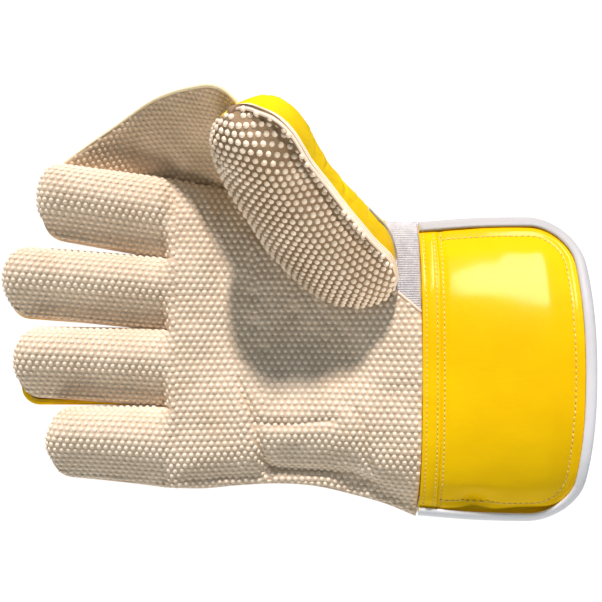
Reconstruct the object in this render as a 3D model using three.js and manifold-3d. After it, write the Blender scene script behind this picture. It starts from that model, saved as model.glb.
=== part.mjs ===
// Right-hand wicketkeeping glove lying on its back, palm up.
// Fingers point along -X, the thumb side is +Y and the palm faces +Z. All sizes are in millimetres.
// While modelling, x is 0 at the finger crotches, y is 0 midway across the fingers, z is 0 at the floor.
// The finished group is moved so that the middle of its underside is the origin.
import * as THREE from 'three';
import Module from 'manifold-3d';

// Walls and clearance
const GAP = 0.3;
const SEAM_GAP = 0.6;
const JOIN_GAP = 0.6;
const BINDING_SLACK = 0.6;
const RUBBER_WALL = 2.6;
const LEATHER_WALL = 3;
const WEB_RUBBER_WALL = 1.8;
const WEB_LEATHER_WALL = 1.1;
const CUFF_WALL = 3.4;
const BAND_WALL = 2.4;
const BINDING_WALL = 1.3;

// Hand and finger stalls
const HAND_WIDTH = 169;
const PALM_LENGTH = 138;
const SEAM_HEIGHT = 24;
const REST_FLAT = 1.6;
const FINGER_LENGTH = 85;
const FINGER_RISE = 16;
const FINGER_CURL = 7;
const TIP_CORNER = 12;
const TIP_DOME = 19;
const TIP_BULGE = 3;
const PALM_RISE = 26;
const FINGER_FADE = 24;
const HOLLOW_SHARE = 0.6;

// Thumb, from its root over the heel of the hand to its tip
const THUMB_BACKWARD = 77;
const THUMB_SIDEWAYS = 85;
const THUMB_LIFT = 62;
const THUMB_WIDTH = 54;
const THUMB_FRONT = 15;
const THUMB_BACK = 26;
const THUMB_TIP_DOME = 24;
const THUMB_ROOT_DOME = 30;
const THUMB_SEAM = 6;

// Web between the index stall and the thumb
const WEB_SPREAD = 44;
const WEB_SAG = 6;
const WEB_BINDING_WIDTH = 2.2;
const WEB_BINDING_WALL = 0.6;

// Wrist and cuff
const WRIST_BAND_WIDTH = 17;
const SEAM_BAND_WIDTH = 9.6;
const CUFF_LENGTH = 86;
const CUFF_SHARE = 0.9586;
const CUFF_WIDTH = CUFF_SHARE * HAND_WIDTH;
const CUFF_FRONT_HEIGHT = 62;
const CUFF_SIDE_HEIGHT = 28;
const CUFF_CORNER = 30;
const CUFF_END_BULGE = 3;
const CUFF_STEP = 1.6;
const CUFF_BINDING_WIDTH = 6;

// Mesh steps
const FINGER_COLUMNS = 8;
const FINGER_ROWS = 5;
const DOME_ROWS = 4;
const PALM_ROWS = 11;
const BACK_COLUMNS = 16;
const PATCH_COLUMNS = 4;
const THUMB_ROWS = 10;
const THUMB_COLUMNS = 10;
const WEB_ROWS = 12;
const WEB_COLUMNS = 6;
const CUFF_ROWS = 6;
const CUFF_COLUMNS = 16;
const CORNER_STEPS = 6;
const TURN_STEPS = 2;
const BAND_STEPS = 2;
const STATION_SHARE = 0.25;

// Roundness of the cross sections: 2 is an ellipse, more is squarer
const FINGER_ROUND = 2.5;
const HAND_ROUND = 3;
const THUMB_ROUND = 2.3;
const WRIST_ROUND = 2.1;
const CUFF_START_ROUND = 3.2;
const CUFF_END_ROUND = 2.4;
const CUFF_FLAT = 0.3;

// Finger stalls from the thumb side. Widths and shifts are shares of the hand's width,
// lengths of the longest finger. The shift leans the tip towards the thumb, and the spread
// is how far the leather back shows past the rubber on the little finger's side.
const FINGERS = [
  { name: 'index', base: 0.259, tip: 0.238, shift: 0.056, length: 0.784, spread: 0.000 },
  { name: 'middle', base: 0.232, tip: 0.219, shift: 0.043, length: 1.000, spread: 0.010 },
  { name: 'ring', base: 0.248, tip: 0.216, shift: 0.024, length: 0.932, spread: 0.032 },
  { name: 'little', base: 0.261, tip: 0.213, shift: 0.023, length: 0.727, spread: 0.000 },
];

// Outline of the hand along the palm, as shares of half the hand's width: the little finger's side,
// the thumb's side, and the edge of the rubber, which runs across under the thumb.
const OUTLINE = [
  { at: 0.00, ulnar: 1.000, radial: 1.000, rubber: 1.000 },
  { at: 0.15, ulnar: 1.006, radial: 0.965, rubber: 0.965 },
  { at: 0.30, ulnar: 0.985, radial: 0.924, rubber: 0.924 },
  { at: 0.45, ulnar: 0.974, radial: 0.880, rubber: 0.765 },
  { at: 0.60, ulnar: 0.990, radial: 0.825, rubber: 0.605 },
  { at: 0.75, ulnar: 1.045, radial: 0.765, rubber: 0.445 },
  { at: 0.88, ulnar: 1.105, radial: 0.728, rubber: 0.305 },
  { at: 1.00, ulnar: 1.185, radial: 0.724, rubber: 0.140 },
];

// Where the rubber's edge leaves the outline, and how far it takes to do so, as shares of the palm
const RUBBER_TURN = 0.3;
const TURN_SHARE = 0.045;

// Slope of the lines between the finger stalls, which lean towards the thumb
const SEAM_REACH = 0.11;

// Height of the palm above the seam, as shares of its rise: a cupped middle between two mounds
const PALM_HEIGHTS = [
  { at: 0.00, ulnar: 0.62, middle: 0.62, radial: 0.62 },
  { at: 0.15, ulnar: 0.56, middle: 0.50, radial: 0.56 },
  { at: 0.35, ulnar: 0.60, middle: 0.38, radial: 0.50 },
  { at: 0.55, ulnar: 0.70, middle: 0.38, radial: 0.58 },
  { at: 0.75, ulnar: 0.82, middle: 0.58, radial: 0.74 },
  { at: 0.90, ulnar: 0.92, middle: 0.80, radial: 0.88 },
  { at: 1.00, ulnar: 0.96, middle: 0.96, radial: 0.94 },
];

// Thumb centreline as shares of its three reaches, and its section as shares of its width and of its
// depths in front of and behind the seam
const THUMB_LINE = [
  { at: 0.00, backward: 0.00, sideways: 0.00, lift: 0.00, width: 0.80, front: 0.90, back: 1.10 },
  { at: 0.19, backward: 0.23, sideways: 0.16, lift: 0.16, width: 0.98, front: 1.00, back: 1.20 },
  { at: 0.40, backward: 0.47, sideways: 0.37, lift: 0.36, width: 1.08, front: 1.00, back: 1.00 },
  { at: 0.61, backward: 0.66, sideways: 0.59, lift: 0.57, width: 1.03, front: 0.96, back: 0.80 },
  { at: 0.72, backward: 0.75, sideways: 0.70, lift: 0.69, width: 1.00, front: 0.94, back: 0.86 },
  { at: 0.85, backward: 0.85, sideways: 0.85, lift: 0.85, width: 0.92, front: 0.92, back: 0.90 },
  { at: 1.00, backward: 1.00, sideways: 1.00, lift: 1.00, width: 0.84, front: 0.86, back: 0.84 },
];
const THUMB_ROOT = { along: 0.86, across: 0.23, up: 1.50 };
const THUMB_FACING = new THREE.Vector3(-0.52, -0.52, 0.68).normalize();

// Free edge of the web: place along its root, then how far out, up and back from the root it lies, as
// shares of its spread, and its sag as a share of the largest. The last row lies inside the thumb,
// where the web is cut to the thumb's surface.
const WEB_EDGE = [
  { at: 0.00, out: 0.03, up: 0.00, back: 0.02, sag: 0.0 },
  { at: 0.20, out: 0.49, up: 0.22, back: 0.08, sag: 0.3 },
  { at: 0.40, out: 0.79, up: 0.65, back: 0.06, sag: 0.8 },
  { at: 0.60, out: 0.90, up: 1.10, back: -0.03, sag: 1.0 },
  { at: 0.80, out: 0.91, up: 1.46, back: -0.20, sag: 0.8 },
  { at: 1.00, out: 0.70, up: 1.45, back: -0.45, sag: 0.4 },
];
const WEB_START = 0.83;
const WEB_END = 0.50;
const WEB_ROOT_DEPTH = 7;
const WEB_ROOT_SINK = 7 / 3;

// Width of the cuff along its length, and the height of its palm side over the side edge, as shares
const CUFF_SECTIONS = [
  { at: 0.00, width: 0.972, height: 0.70 },
  { at: 0.35, width: 0.996, height: 0.84 },
  { at: 0.70, width: 1.000, height: 0.95 },
  { at: 1.00, width: 0.992, height: 1.00 },
];

const half = HAND_WIDTH / 2;
const wasm = await Module();
wasm.setup();

// Small helpers
function mix(from, to, share) {
  return from + (to - from) * share;
}

function fade(value) {
  const share = Math.min(Math.max(value, 0), 1);
  return share * share * (3 - 2 * share);
}

function arch(across, roundness) {
  const inside = 1 - Math.min(Math.abs(across), 1) ** roundness;
  return inside ** (1 / roundness);
}

// Smooth curve through one column of a table
function sample(rows, column, at) {
  const last = rows.length - 1;
  let row = 0;
  while (row < last - 1 && at > rows[row + 1].at) {
    row += 1;
  }
  const slope = (place) => {
    const before = rows[Math.max(place - 1, 0)];
    const after = rows[Math.min(place + 1, last)];
    return (after[column] - before[column]) / (after.at - before.at);
  };
  const span = rows[row + 1].at - rows[row].at;
  const t = (at - rows[row].at) / span;
  const rise = rows[row + 1][column] - rows[row][column];
  const curve = (slope(row) * span * (1 - t) - slope(row + 1) * span * t) - rise * (1 - 2 * t);
  return rows[row][column] + rise * t + t * (1 - t) * curve;
}

function steps(count, place) {
  return Array.from({ length: count + 1 }, (_, step) => place(step / count));
}

// Places across a section, closer together at its steep sides
function sideways(count) {
  return steps(count, (share) => -Math.cos(Math.PI * share));
}

// Rows of a grid into four-sided cells
function cellsOf(grid) {
  const cells = [];
  for (let row = 0; row + 1 < grid.length; row += 1) {
    for (let column = 0; column + 1 < grid[row].length; column += 1) {
      const below = grid[row + 1];
      cells.push([grid[row][column], grid[row][column + 1], below[column + 1], below[column]]);
    }
  }
  return cells;
}

// Points that coincide become one, and cells become triangles
function weld(cells) {
  const points = [];
  const known = new Map();
  const indexOf = (point) => {
    const key = point.toArray().map((value) => Math.round(value * 1e4)).join();
    if (!known.has(key)) {
      known.set(key, points.length);
      points.push(point.clone());
    }
    return known.get(key);
  };
  const triangles = [];
  for (const cell of cells) {
    const [a, b, c, d] = cell.map(indexOf);
    const short = cell[0].distanceTo(cell[2]) <= cell[1].distanceTo(cell[3]);
    for (const triangle of short ? [[a, b, c], [a, c, d]] : [[a, b, d], [b, c, d]]) {
      if (new Set(triangle).size === 3) {
        triangles.push(triangle);
      }
    }
  }
  return { points, triangles };
}

function normalsOf(points, triangles) {
  const normals = points.map(() => new THREE.Vector3());
  for (const [a, b, c] of triangles) {
    const side = points[b].clone().sub(points[a]);
    const normal = side.cross(points[c].clone().sub(points[a]));
    for (const corner of [a, b, c]) {
      normals[corner].add(normal);
    }
  }
  return normals.map((normal) => normal.normalize());
}

function volumeOf(points, triangles) {
  let volume = 0;
  for (const [a, b, c] of triangles) {
    volume += points[a].dot(points[b].clone().cross(points[c])) / 6;
  }
  return volume;
}

function solidOf(points, triangles) {
  const outward = volumeOf(points, triangles) > 0;
  const ordered = outward ? triangles : triangles.map(([a, b, c]) => [a, c, b]);
  const mesh = new wasm.Mesh({
    numProp: 3,
    vertProperties: new Float32Array(points.flatMap((point) => point.toArray())),
    triVerts: new Uint32Array(ordered.flat()),
  });
  return new wasm.Manifold(mesh);
}

// A sheet of cells made into a wall. The cells are its outer face, which looks along facing, and the
// wall goes inwards. An edge's own direction keeps the end faces square to their neighbours.
function wallOf(cells, wall, facing, edgeNormal, settle = () => {}) {
  const { points, triangles } = weld(cells);
  const raw = normalsOf(points, triangles);
  const sum = raw.reduce((total, normal) => total.add(normal), new THREE.Vector3());
  const outward = sum.dot(facing) > 0;
  const outer = outward ? triangles : triangles.map(([a, b, c]) => [a, c, b]);
  const normals = outward ? raw : raw.map((normal) => normal.negate());
  const open = new Map();
  for (const [a, b, c] of outer) {
    for (const [from, to] of [[a, b], [b, c], [c, a]]) {
      if (!open.delete(`${to} ${from}`)) {
        open.set(`${from} ${to}`, [from, to]);
      }
    }
  }
  const rim = new Set([...open.values()].flat());
  const inner = points.map((point, place) => {
    const normal = normals[place];
    if (rim.has(place)) {
      edgeNormal(point, normal);
      normal.normalize();
    }
    const deep = point.clone().addScaledVector(normal, -wall);
    settle(deep, point);
    return deep;
  });
  const count = points.length;
  const all = [...outer];
  for (const [a, b, c] of outer) {
    all.push([a + count, c + count, b + count]);
  }
  for (const [from, to] of open.values()) {
    all.push([to, from, from + count]);
    all.push([to, from + count, to + count]);
  }
  return solidOf([...points, ...inner], all);
}

// Closed loops joined one after another, with both ends closed
function loftOf(loops, grow = 0) {
  const rings = loops.map((loop) => [...loop, loop[0]]);
  const cells = cellsOf(rings);
  for (const ring of [loops[0], [...loops[loops.length - 1]].reverse()]) {
    const middle = ring.reduce((total, point) => total.add(point), new THREE.Vector3());
    middle.divideScalar(ring.length);
    for (let place = 0; place < ring.length; place += 1) {
      const next = ring[(place + 1) % ring.length];
      cells.push([middle, next, ring[place], ring[place]]);
    }
  }
  return grownSolid(cells, grow);
}

function grownSolid(cells, grow) {
  const { points, triangles } = weld(cells);
  const outward = volumeOf(points, triangles) > 0 ? 1 : -1;
  const normals = normalsOf(points, triangles);
  const grown = points.map((point, place) => {
    return point.clone().addScaledVector(normals[place], grow * outward);
  });
  return solidOf(grown, triangles);
}

// Hand outline and surfaces
function handEdges(x) {
  const at = Math.min(Math.max(x / PALM_LENGTH, 0), 1);
  const radial = half * sample(OUTLINE, 'radial', at);
  const rubber = Math.min(half * sample(OUTLINE, 'rubber', at), radial);
  const ulnar = -half * sample(OUTLINE, 'ulnar', at);
  return { ulnar, radial, rubber: at > RUBBER_TURN ? rubber : radial };
}

// Stations along the palm, shared by the rubber and the leather so that their edges run together
const handEnd = PALM_LENGTH - WRIST_BAND_WIDTH;

function palmStations(start, end) {
  const turn = steps(TURN_STEPS, (share) => (RUBBER_TURN + share * TURN_SHARE) * PALM_LENGTH);
  const named = [start, ...turn, handEnd, end];
  const even = steps(PALM_ROWS, (share) => share * PALM_LENGTH);
  const nearest = STATION_SHARE * PALM_LENGTH / PALM_ROWS;
  const apart = even.filter((x) => named.every((place) => Math.abs(x - place) > nearest));
  const all = [...new Set([...named, ...apart])].sort((a, b) => a - b);
  return all.filter((x) => x >= start && x <= end);
}

function fingerBases() {
  let edge = half;
  return FINGERS.map((finger) => {
    const radial = edge;
    edge -= finger.base * HAND_WIDTH;
    return { radial, ulnar: edge };
  });
}
const bases = fingerBases();

// Share across the hand, from -1 at the little finger's side to 1 at the thumb's
function acrossHand(x, y) {
  const edges = handEdges(x);
  return (2 * y - edges.ulnar - edges.radial) / (edges.radial - edges.ulnar);
}

function sideShape(x, across) {
  return arch(across, mix(HAND_ROUND, WRIST_ROUND, fade(x / PALM_LENGTH)));
}

// Height of the palm over the seam, with the finger ridges running out into it
function palmRise(x, y) {
  const at = Math.min(Math.max(x / PALM_LENGTH, 0), 1);
  const across = Math.min(Math.max(acrossHand(x, y), -1), 1);
  const mound = sample(PALM_HEIGHTS, across < 0 ? 'ulnar' : 'radial', at);
  const middle = sample(PALM_HEIGHTS, 'middle', at);
  const hand = PALM_RISE * mix(middle, mound, fade(Math.abs(across) / HOLLOW_SHARE)) * sideShape(x, across);
  const place = -across * half;
  const base = bases.find((edges) => -place >= edges.ulnar) ?? bases[bases.length - 1];
  const local = (2 * -place - base.radial - base.ulnar) / (base.radial - base.ulnar);
  const ridge = FINGER_RISE * arch(local, FINGER_ROUND);
  return mix(ridge, hand, fade(x / FINGER_FADE));
}

function backDrop(x, across) {
  return (SEAM_HEIGHT + REST_FLAT) * sideShape(x, across);
}

function palmPoint(x, y, lift = 0) {
  return new THREE.Vector3(x, y, SEAM_HEIGHT + lift + palmRise(x, y));
}

function palmNormal(x, y) {
  const step = 0.5;
  const slopeX = (palmRise(x + step, y) - palmRise(x - step, y)) / (2 * step);
  const slopeY = (palmRise(x, y + step) - palmRise(x, y - step)) / (2 * step);
  return new THREE.Vector3(-slopeX, -slopeY, 1).normalize();
}

function backPoint(x, across, lift = 0) {
  const edges = handEdges(x);
  const y = mix(edges.ulnar, edges.radial, (across + 1) / 2);
  return new THREE.Vector3(x, y, Math.max(0, SEAM_HEIGHT + lift - backDrop(x, across)));
}

// Finger stalls
function fingerRows(length) {
  const body = steps(FINGER_ROWS, (share) => share * (length - TIP_DOME));
  const dome = steps(DOME_ROWS, (share) => length - TIP_DOME * (1 - Math.sin(share * Math.PI / 2)));
  return [...body, ...dome.slice(1)];
}

function fingerPoint(place, along, across, side, inset, spread) {
  const finger = FINGERS[place];
  const base = bases[place];
  const length = finger.length * FINGER_LENGTH - TIP_BULGE;
  const share = along / length;
  const middle = mix((base.radial + base.ulnar) / 2, (base.radial + base.ulnar) / 2
    + finger.shift * HAND_WIDTH, share);
  const corner = Math.max(0, (along - length + TIP_CORNER) / TIP_CORNER);
  const cut = TIP_CORNER * (1 - Math.sqrt(Math.max(0, 1 - corner * corner)));
  const width = mix(base.radial - base.ulnar, finger.tip * HAND_WIDTH, share) / 2 - cut - inset;
  const dome = Math.max(0, (along - length + TIP_DOME) / TIP_DOME);
  const height = arch(across, FINGER_ROUND) * arch(dome, FINGER_ROUND);
  const x = -along - TIP_BULGE * share ** 3 * (1 - across * across);
  const lean = spread * share * HAND_WIDTH * finger.spread * (1 - across) / 2;
  const seam = SEAM_HEIGHT + FINGER_CURL * share * share;
  const y = middle + across * width - lean;
  const z = side > 0 ? FINGER_RISE * height : -(SEAM_HEIGHT + REST_FLAT) * height;
  return new THREE.Vector3(x, y, Math.max(0, seam + side * SEAM_GAP / 2 + z));
}

// Height of the seam between rubber and leather, which follows the curl of the nearest finger
function seamAt(x, y) {
  const nearest = bases.findIndex((base) => y > base.ulnar - SEAM_REACH * x);
  const place = nearest < 0 ? FINGERS.length - 1 : nearest;
  const length = FINGERS[place].length * FINGER_LENGTH - TIP_BULGE;
  return SEAM_HEIGHT + FINGER_CURL * Math.min(Math.max(-x, 0) / length, 1) ** 2;
}

function palmFacing() {
  const cells = [];
  FINGERS.forEach((finger, place) => {
    const length = finger.length * FINGER_LENGTH - TIP_BULGE;
    const grid = fingerRows(length).map((along) => {
      return sideways(FINGER_COLUMNS).map((across) => fingerPoint(place, along, across, 1, 0, 0));
    });
    cells.push(...cellsOf(grid));
    const palm = palmStations(0, PALM_LENGTH).map((x) => {
      return sideways(FINGER_COLUMNS).map((across) => {
        const base = bases[place];
        const share = (mix(base.ulnar, base.radial, (across + 1) / 2) + half) / HAND_WIDTH;
        const edges = handEdges(x);
        const trim = edges.rubber < edges.radial ? SEAM_GAP / 2 : 0;
        return palmPoint(x, mix(edges.ulnar, edges.rubber - trim, share), SEAM_GAP / 2);
      });
    });
    cells.push(...cellsOf(palm).map((cell) => [...cell].reverse()));
  });
  const square = (point, normal) => {
    if (point.x > RUBBER_TURN * PALM_LENGTH + GAP && point.z > SEAM_HEIGHT + SEAM_GAP) {
      normal.copy(palmNormal(point.x, point.y));
      normal.x = 0;
    } else {
      normal.x = point.x > 0 ? 0 : normal.x;
      normal.z = 0;
    }
  };
  const settle = (inner, outer) => {
    inner.z = Math.max(inner.z, seamAt(outer.x, outer.y) + SEAM_GAP / 2);
  };
  return wallOf(cells, RUBBER_WALL, new THREE.Vector3(0, 0, 1), square, settle);
}

function fingerBack(place) {
  const length = FINGERS[place].length * FINGER_LENGTH - TIP_BULGE;
  const grid = fingerRows(length).map((along, row) => {
    const start = row === 0 ? GAP / 2 : along;
    return sideways(FINGER_COLUMNS).map((across) => {
      return fingerPoint(place, start, across, -1, GAP / 2, 1);
    });
  });
  const square = (point, normal) => {
    if (point.x > -GAP) {
      normal.x = 0;
    } else {
      normal.z = 0;
    }
  };
  const settle = (inner, outer) => {
    inner.z = Math.min(inner.z, seamAt(outer.x, outer.y) - SEAM_GAP / 2);
  };
  return wallOf(cellsOf(grid), LEATHER_WALL, new THREE.Vector3(0, 0, -1), square, settle);
}

// Leather from the little finger's side, under the hand and up to the edge of the rubber
function leatherRow(x) {
  const edges = handEdges(x);
  const under = sideways(BACK_COLUMNS).map((across) => backPoint(x, across, -SEAM_GAP / 2));
  const inner = Math.min(edges.radial, edges.rubber + SEAM_GAP / 2);
  const over = steps(PATCH_COLUMNS, (share) => {
    const y = mix(edges.radial, inner, Math.sin(share * Math.PI / 2) ** 2);
    return palmPoint(x, y, -SEAM_GAP / 2);
  });
  const rim = under[under.length - 1];
  return [...under, ...over.slice(1).map((point) => (edges.rubber < edges.radial ? point : rim))];
}

function leatherWall(start, end, wall) {
  const grid = palmStations(start, end).map((x) => leatherRow(x));
  const square = (point, normal) => {
    const atEnd = Math.abs(point.x - start) < GAP / 2 || Math.abs(point.x - end) < GAP / 2;
    const over = point.x > RUBBER_TURN * PALM_LENGTH + GAP && point.z > SEAM_HEIGHT + SEAM_GAP;
    if (over) {
      normal.copy(palmNormal(point.x, point.y));
      normal.x = 0;
    } else {
      normal.x = atEnd ? 0 : normal.x;
      normal.z = Math.abs(point.z - SEAM_HEIGHT) < SEAM_GAP ? 0 : normal.z;
    }
  };
  return wallOf(cellsOf(grid), wall, new THREE.Vector3(0, 0, -1), square);
}

// Solid form of the hand, used to trim what is sewn to it
function handForm(grow, end) {
  const loops = palmStations(0, end).map((x) => {
    const edges = handEdges(x);
    const over = sideways(4 * FINGER_COLUMNS).map((across) => {
      return palmPoint(x, mix(edges.ulnar, edges.radial, (across + 1) / 2));
    });
    const under = sideways(BACK_COLUMNS).map((across) => backPoint(x, across)).reverse();
    return [...over, ...under.slice(1, -1)];
  });
  return loftOf(loops, grow);
}

function fingerForm(place, grow) {
  const length = FINGERS[place].length * FINGER_LENGTH - TIP_BULGE;
  const loops = fingerRows(length).map((along) => {
    const over = sideways(FINGER_COLUMNS).map((across) => fingerPoint(place, along, across, 1, 0, 0));
    const under = sideways(FINGER_COLUMNS).map((across) => {
      return fingerPoint(place, along, across, -1, 0, 0);
    });
    return [...over, ...under.reverse()];
  });
  return loftOf(loops, grow);
}

// Thumb
const thumbRoot = new THREE.Vector3(
  THUMB_ROOT.along * PALM_LENGTH,
  THUMB_ROOT.across * half,
  THUMB_ROOT.up * SEAM_HEIGHT,
);

function thumbCentre(share) {
  return new THREE.Vector3(
    thumbRoot.x - THUMB_BACKWARD * sample(THUMB_LINE, 'backward', share),
    thumbRoot.y + THUMB_SIDEWAYS * sample(THUMB_LINE, 'sideways', share),
    thumbRoot.z + THUMB_LIFT * sample(THUMB_LINE, 'lift', share),
  );
}

const thumbLength = Math.hypot(THUMB_BACKWARD, THUMB_SIDEWAYS, THUMB_LIFT);

function thumbFrame(share) {
  const step = 0.01;
  const ahead = thumbCentre(Math.min(share + step, 1));
  const along = ahead.sub(thumbCentre(Math.max(share - step, 0))).normalize();
  const facing = THUMB_FACING.clone().addScaledVector(along, -THUMB_FACING.dot(along)).normalize();
  const across = new THREE.Vector3().crossVectors(along, facing);
  return { facing, across };
}

function thumbShares() {
  const tip = THUMB_TIP_DOME / thumbLength;
  const root = THUMB_ROOT_DOME / thumbLength;
  const start = steps(DOME_ROWS, (share) => root * (1 - Math.cos(share * Math.PI / 2)));
  const body = steps(THUMB_ROWS, (share) => mix(root, 1 - tip, share));
  const end = steps(DOME_ROWS, (share) => 1 - tip * (1 - Math.sin(share * Math.PI / 2)));
  return [...start, ...body.slice(1), ...end.slice(1)];
}

// side is 1 for the rubber front, -1 for the leather back and 0 for the whole round
function thumbPoint(share, angle, side) {
  const { facing, across } = thumbFrame(share);
  const tip = Math.max(0, (share - 1) * thumbLength / THUMB_TIP_DOME + 1);
  const root = Math.max(0, 1 - share * thumbLength / THUMB_ROOT_DOME);
  const ends = arch(tip, THUMB_ROUND) * arch(root, THUMB_ROUND);
  const cosine = Math.cos(angle);
  const sine = Math.sin(angle);
  const around = Math.abs(cosine) ** THUMB_ROUND + Math.abs(sine) ** THUMB_ROUND;
  const size = ends * around ** (-1 / THUMB_ROUND);
  const width = THUMB_WIDTH / 2 * sample(THUMB_LINE, 'width', share) * size * cosine;
  const reach = sine > 0 ? THUMB_FRONT * sample(THUMB_LINE, 'front', share)
    : THUMB_BACK * sample(THUMB_LINE, 'back', share);
  const depth = reach * size * sine;
  const centre = thumbCentre(share);
  return centre.addScaledVector(across, width).addScaledVector(facing, depth + side * GAP / 2);
}

function thumbForm(grow) {
  const loops = thumbShares().slice(1, -1).map((share) => {
    const turns = steps(2 * THUMB_COLUMNS, (turn) => thumbPoint(share, 2 * Math.PI * turn, 0));
    return turns.slice(0, -1);
  });
  return loftOf(loops, grow);
}

function thumbHalf(side, wall) {
  const grid = thumbShares().map((share) => {
    return steps(THUMB_COLUMNS, (turn) => thumbPoint(share, side * Math.PI * turn, side));
  });
  const facing = thumbFrame(0.5).facing.multiplyScalar(side);
  const square = (point, normal) => {
    const local = nearestThumbFacing(point);
    normal.addScaledVector(local, -normal.dot(local));
  };
  return wallOf(cellsOf(grid), wall, facing, square);
}

function nearestThumbFacing(point) {
  const choices = thumbShares().map((share) => ({ share, gap: thumbCentre(share).distanceTo(point) }));
  choices.sort((a, b) => a.gap - b.gap);
  return thumbFrame(choices[0].share).facing;
}

// Web
const webStart = -WEB_START * (FINGERS[0].length * FINGER_LENGTH);
const webEnd = WEB_END * PALM_LENGTH;

function webRoot(share) {
  const x = mix(webStart, webEnd, share);
  const length = FINGERS[0].length * FINGER_LENGTH - TIP_BULGE;
  const onFinger = fingerPoint(0, Math.max(-x, 0), 1, 1, 0, 0);
  const y = x < 0 ? onFinger.y : handEdges(x).radial;
  const z = SEAM_HEIGHT + FINGER_CURL * (Math.max(-x, 0) / length) ** 2;
  return new THREE.Vector3(x, y, z);
}

function webSurface(share, out) {
  const root = webRoot(share);
  const edge = root.clone();
  edge.x += WEB_SPREAD * sample(WEB_EDGE, 'back', share);
  edge.y += WEB_SPREAD * sample(WEB_EDGE, 'out', share);
  edge.z += WEB_SPREAD * sample(WEB_EDGE, 'up', share);
  const buried = root.clone().add(new THREE.Vector3(0, -WEB_ROOT_DEPTH, -WEB_ROOT_SINK));
  const point = buried.lerp(edge, out);
  const sag = WEB_SAG * sample(WEB_EDGE, 'sag', share) * 4 * out * (1 - out);
  point.z -= sag;
  return point;
}

function webPoint(share, out, depth) {
  const step = 0.01;
  const place = Math.min(Math.max(share, step), 1 - step);
  const level = Math.min(Math.max(out, step), 1 - step);
  const along = webSurface(place + step, level).sub(webSurface(place - step, level));
  const outward = webSurface(place, level + step).sub(webSurface(place, level - step));
  const normal = along.cross(outward).normalize();
  return webSurface(share, out).addScaledVector(normal, -depth);
}

function webLength(share) {
  return webSurface(share, 0).distanceTo(webSurface(share, 1));
}

function webSheet(depth, wall) {
  const grid = steps(WEB_ROWS, (share) => {
    const inset = (WEB_BINDING_WALL + GAP) / webLength(share);
    return steps(WEB_COLUMNS, (out) => webPoint(share, out * (1 - inset), depth));
  });
  return wallOf(cellsOf(grid), wall, webPoint(0.5, 0.5, 0).sub(webPoint(0.5, 0.5, 1)), () => {});
}

// A U-shaped channel swept along the edge of a panel, closed at both ends
function channelOf(stations, { width, wall, thickness }, surface) {
  const lip = thickness / 2 + BINDING_SLACK;
  const cover = lip + wall;
  const profile = [
    [0, -cover], [0, cover], [width, cover], [width, lip],
    [wall, lip], [wall, -lip], [width, -lip], [width, -cover],
  ];
  const loops = stations.map((station) => {
    return profile.map(([inward, level]) => surface(station, inward, level));
  });
  const cells = cellsOf(loops.map((loop) => [...loop, loop[0]]));
  const start = loops[0];
  const end = loops[loops.length - 1];
  for (const [a, b, c, d] of [[0, 1, 4, 5], [1, 2, 3, 4], [0, 5, 6, 7]]) {
    cells.push([start[d], start[c], start[b], start[a]]);
    cells.push([end[a], end[b], end[c], end[d]]);
  }
  return grownSolid(cells, 0);
}

function webBinding() {
  const thickness = WEB_RUBBER_WALL + GAP + WEB_LEATHER_WALL;
  const surface = (share, inward, level) => {
    return webPoint(share, 1 - inward / webLength(share), thickness / 2 - level);
  };
  const size = { width: WEB_BINDING_WIDTH, wall: WEB_BINDING_WALL, thickness };
  return channelOf(steps(WEB_ROWS, (share) => share), size, surface);
}

// Cuff
const cuffStart = PALM_LENGTH + GAP;
const wristEdges = handEdges(PALM_LENGTH);
const cuffMiddle = (wristEdges.ulnar + wristEdges.radial) / 2;
const cuffFrontStart = cuffStart + SEAM_BAND_WIDTH + GAP;
const bindingHalf = CUFF_WALL / 2 + BINDING_SLACK + BINDING_WALL;

function cuffHalfWidth(x) {
  const at = Math.min(Math.max((x - cuffStart) / CUFF_LENGTH, 0), 1);
  return CUFF_WIDTH / 2 * sample(CUFF_SECTIONS, 'width', at);
}

function cuffHeight(x, y, side) {
  const at = Math.min(Math.max((x - cuffStart) / CUFF_LENGTH, 0), 1);
  const across = (y - cuffMiddle) / cuffHalfWidth(x);
  const lens = 1 - Math.min(Math.abs(across), 1) ** mix(CUFF_START_ROUND, CUFF_END_ROUND, at);
  const sideHeight = mix(SEAM_HEIGHT, CUFF_SIDE_HEIGHT, at);
  if (side > 0) {
    const rise = (CUFF_FRONT_HEIGHT - CUFF_SIDE_HEIGHT) * sample(CUFF_SECTIONS, 'height', at);
    return sideHeight + bindingHalf + (rise - bindingHalf) * lens;
  }
  const curl = Math.max(0, (Math.abs(across) - CUFF_FLAT) / (1 - CUFF_FLAT)) ** CUFF_END_ROUND;
  return bindingHalf + (sideHeight - 2 * bindingHalf) * curl;
}

function cuffPoint(x, y, side, level) {
  const step = 0.5;
  const here = cuffHeight(x, y, side);
  const slopeX = (cuffHeight(x + step, y, side) - cuffHeight(x - step, y, side)) / (2 * step);
  const slopeY = (cuffHeight(x, y + step, side) - cuffHeight(x, y - step, side)) / (2 * step);
  const normal = new THREE.Vector3(-slopeX, -slopeY, 1).normalize();
  return new THREE.Vector3(x, y, here).addScaledVector(normal, level);
}

// Outline of a panel, set in from its free edge, at a distance from the wrist
function panelRow(x, inset) {
  const end = cuffStart + CUFF_LENGTH - inset - CUFF_END_BULGE;
  const corner = CUFF_CORNER - inset;
  const turn = Math.max(0, (x - end + corner) / corner);
  const cut = corner * (1 - Math.sqrt(Math.max(0, 1 - turn * turn)));
  return cuffHalfWidth(x) - inset - cut;
}

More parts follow.
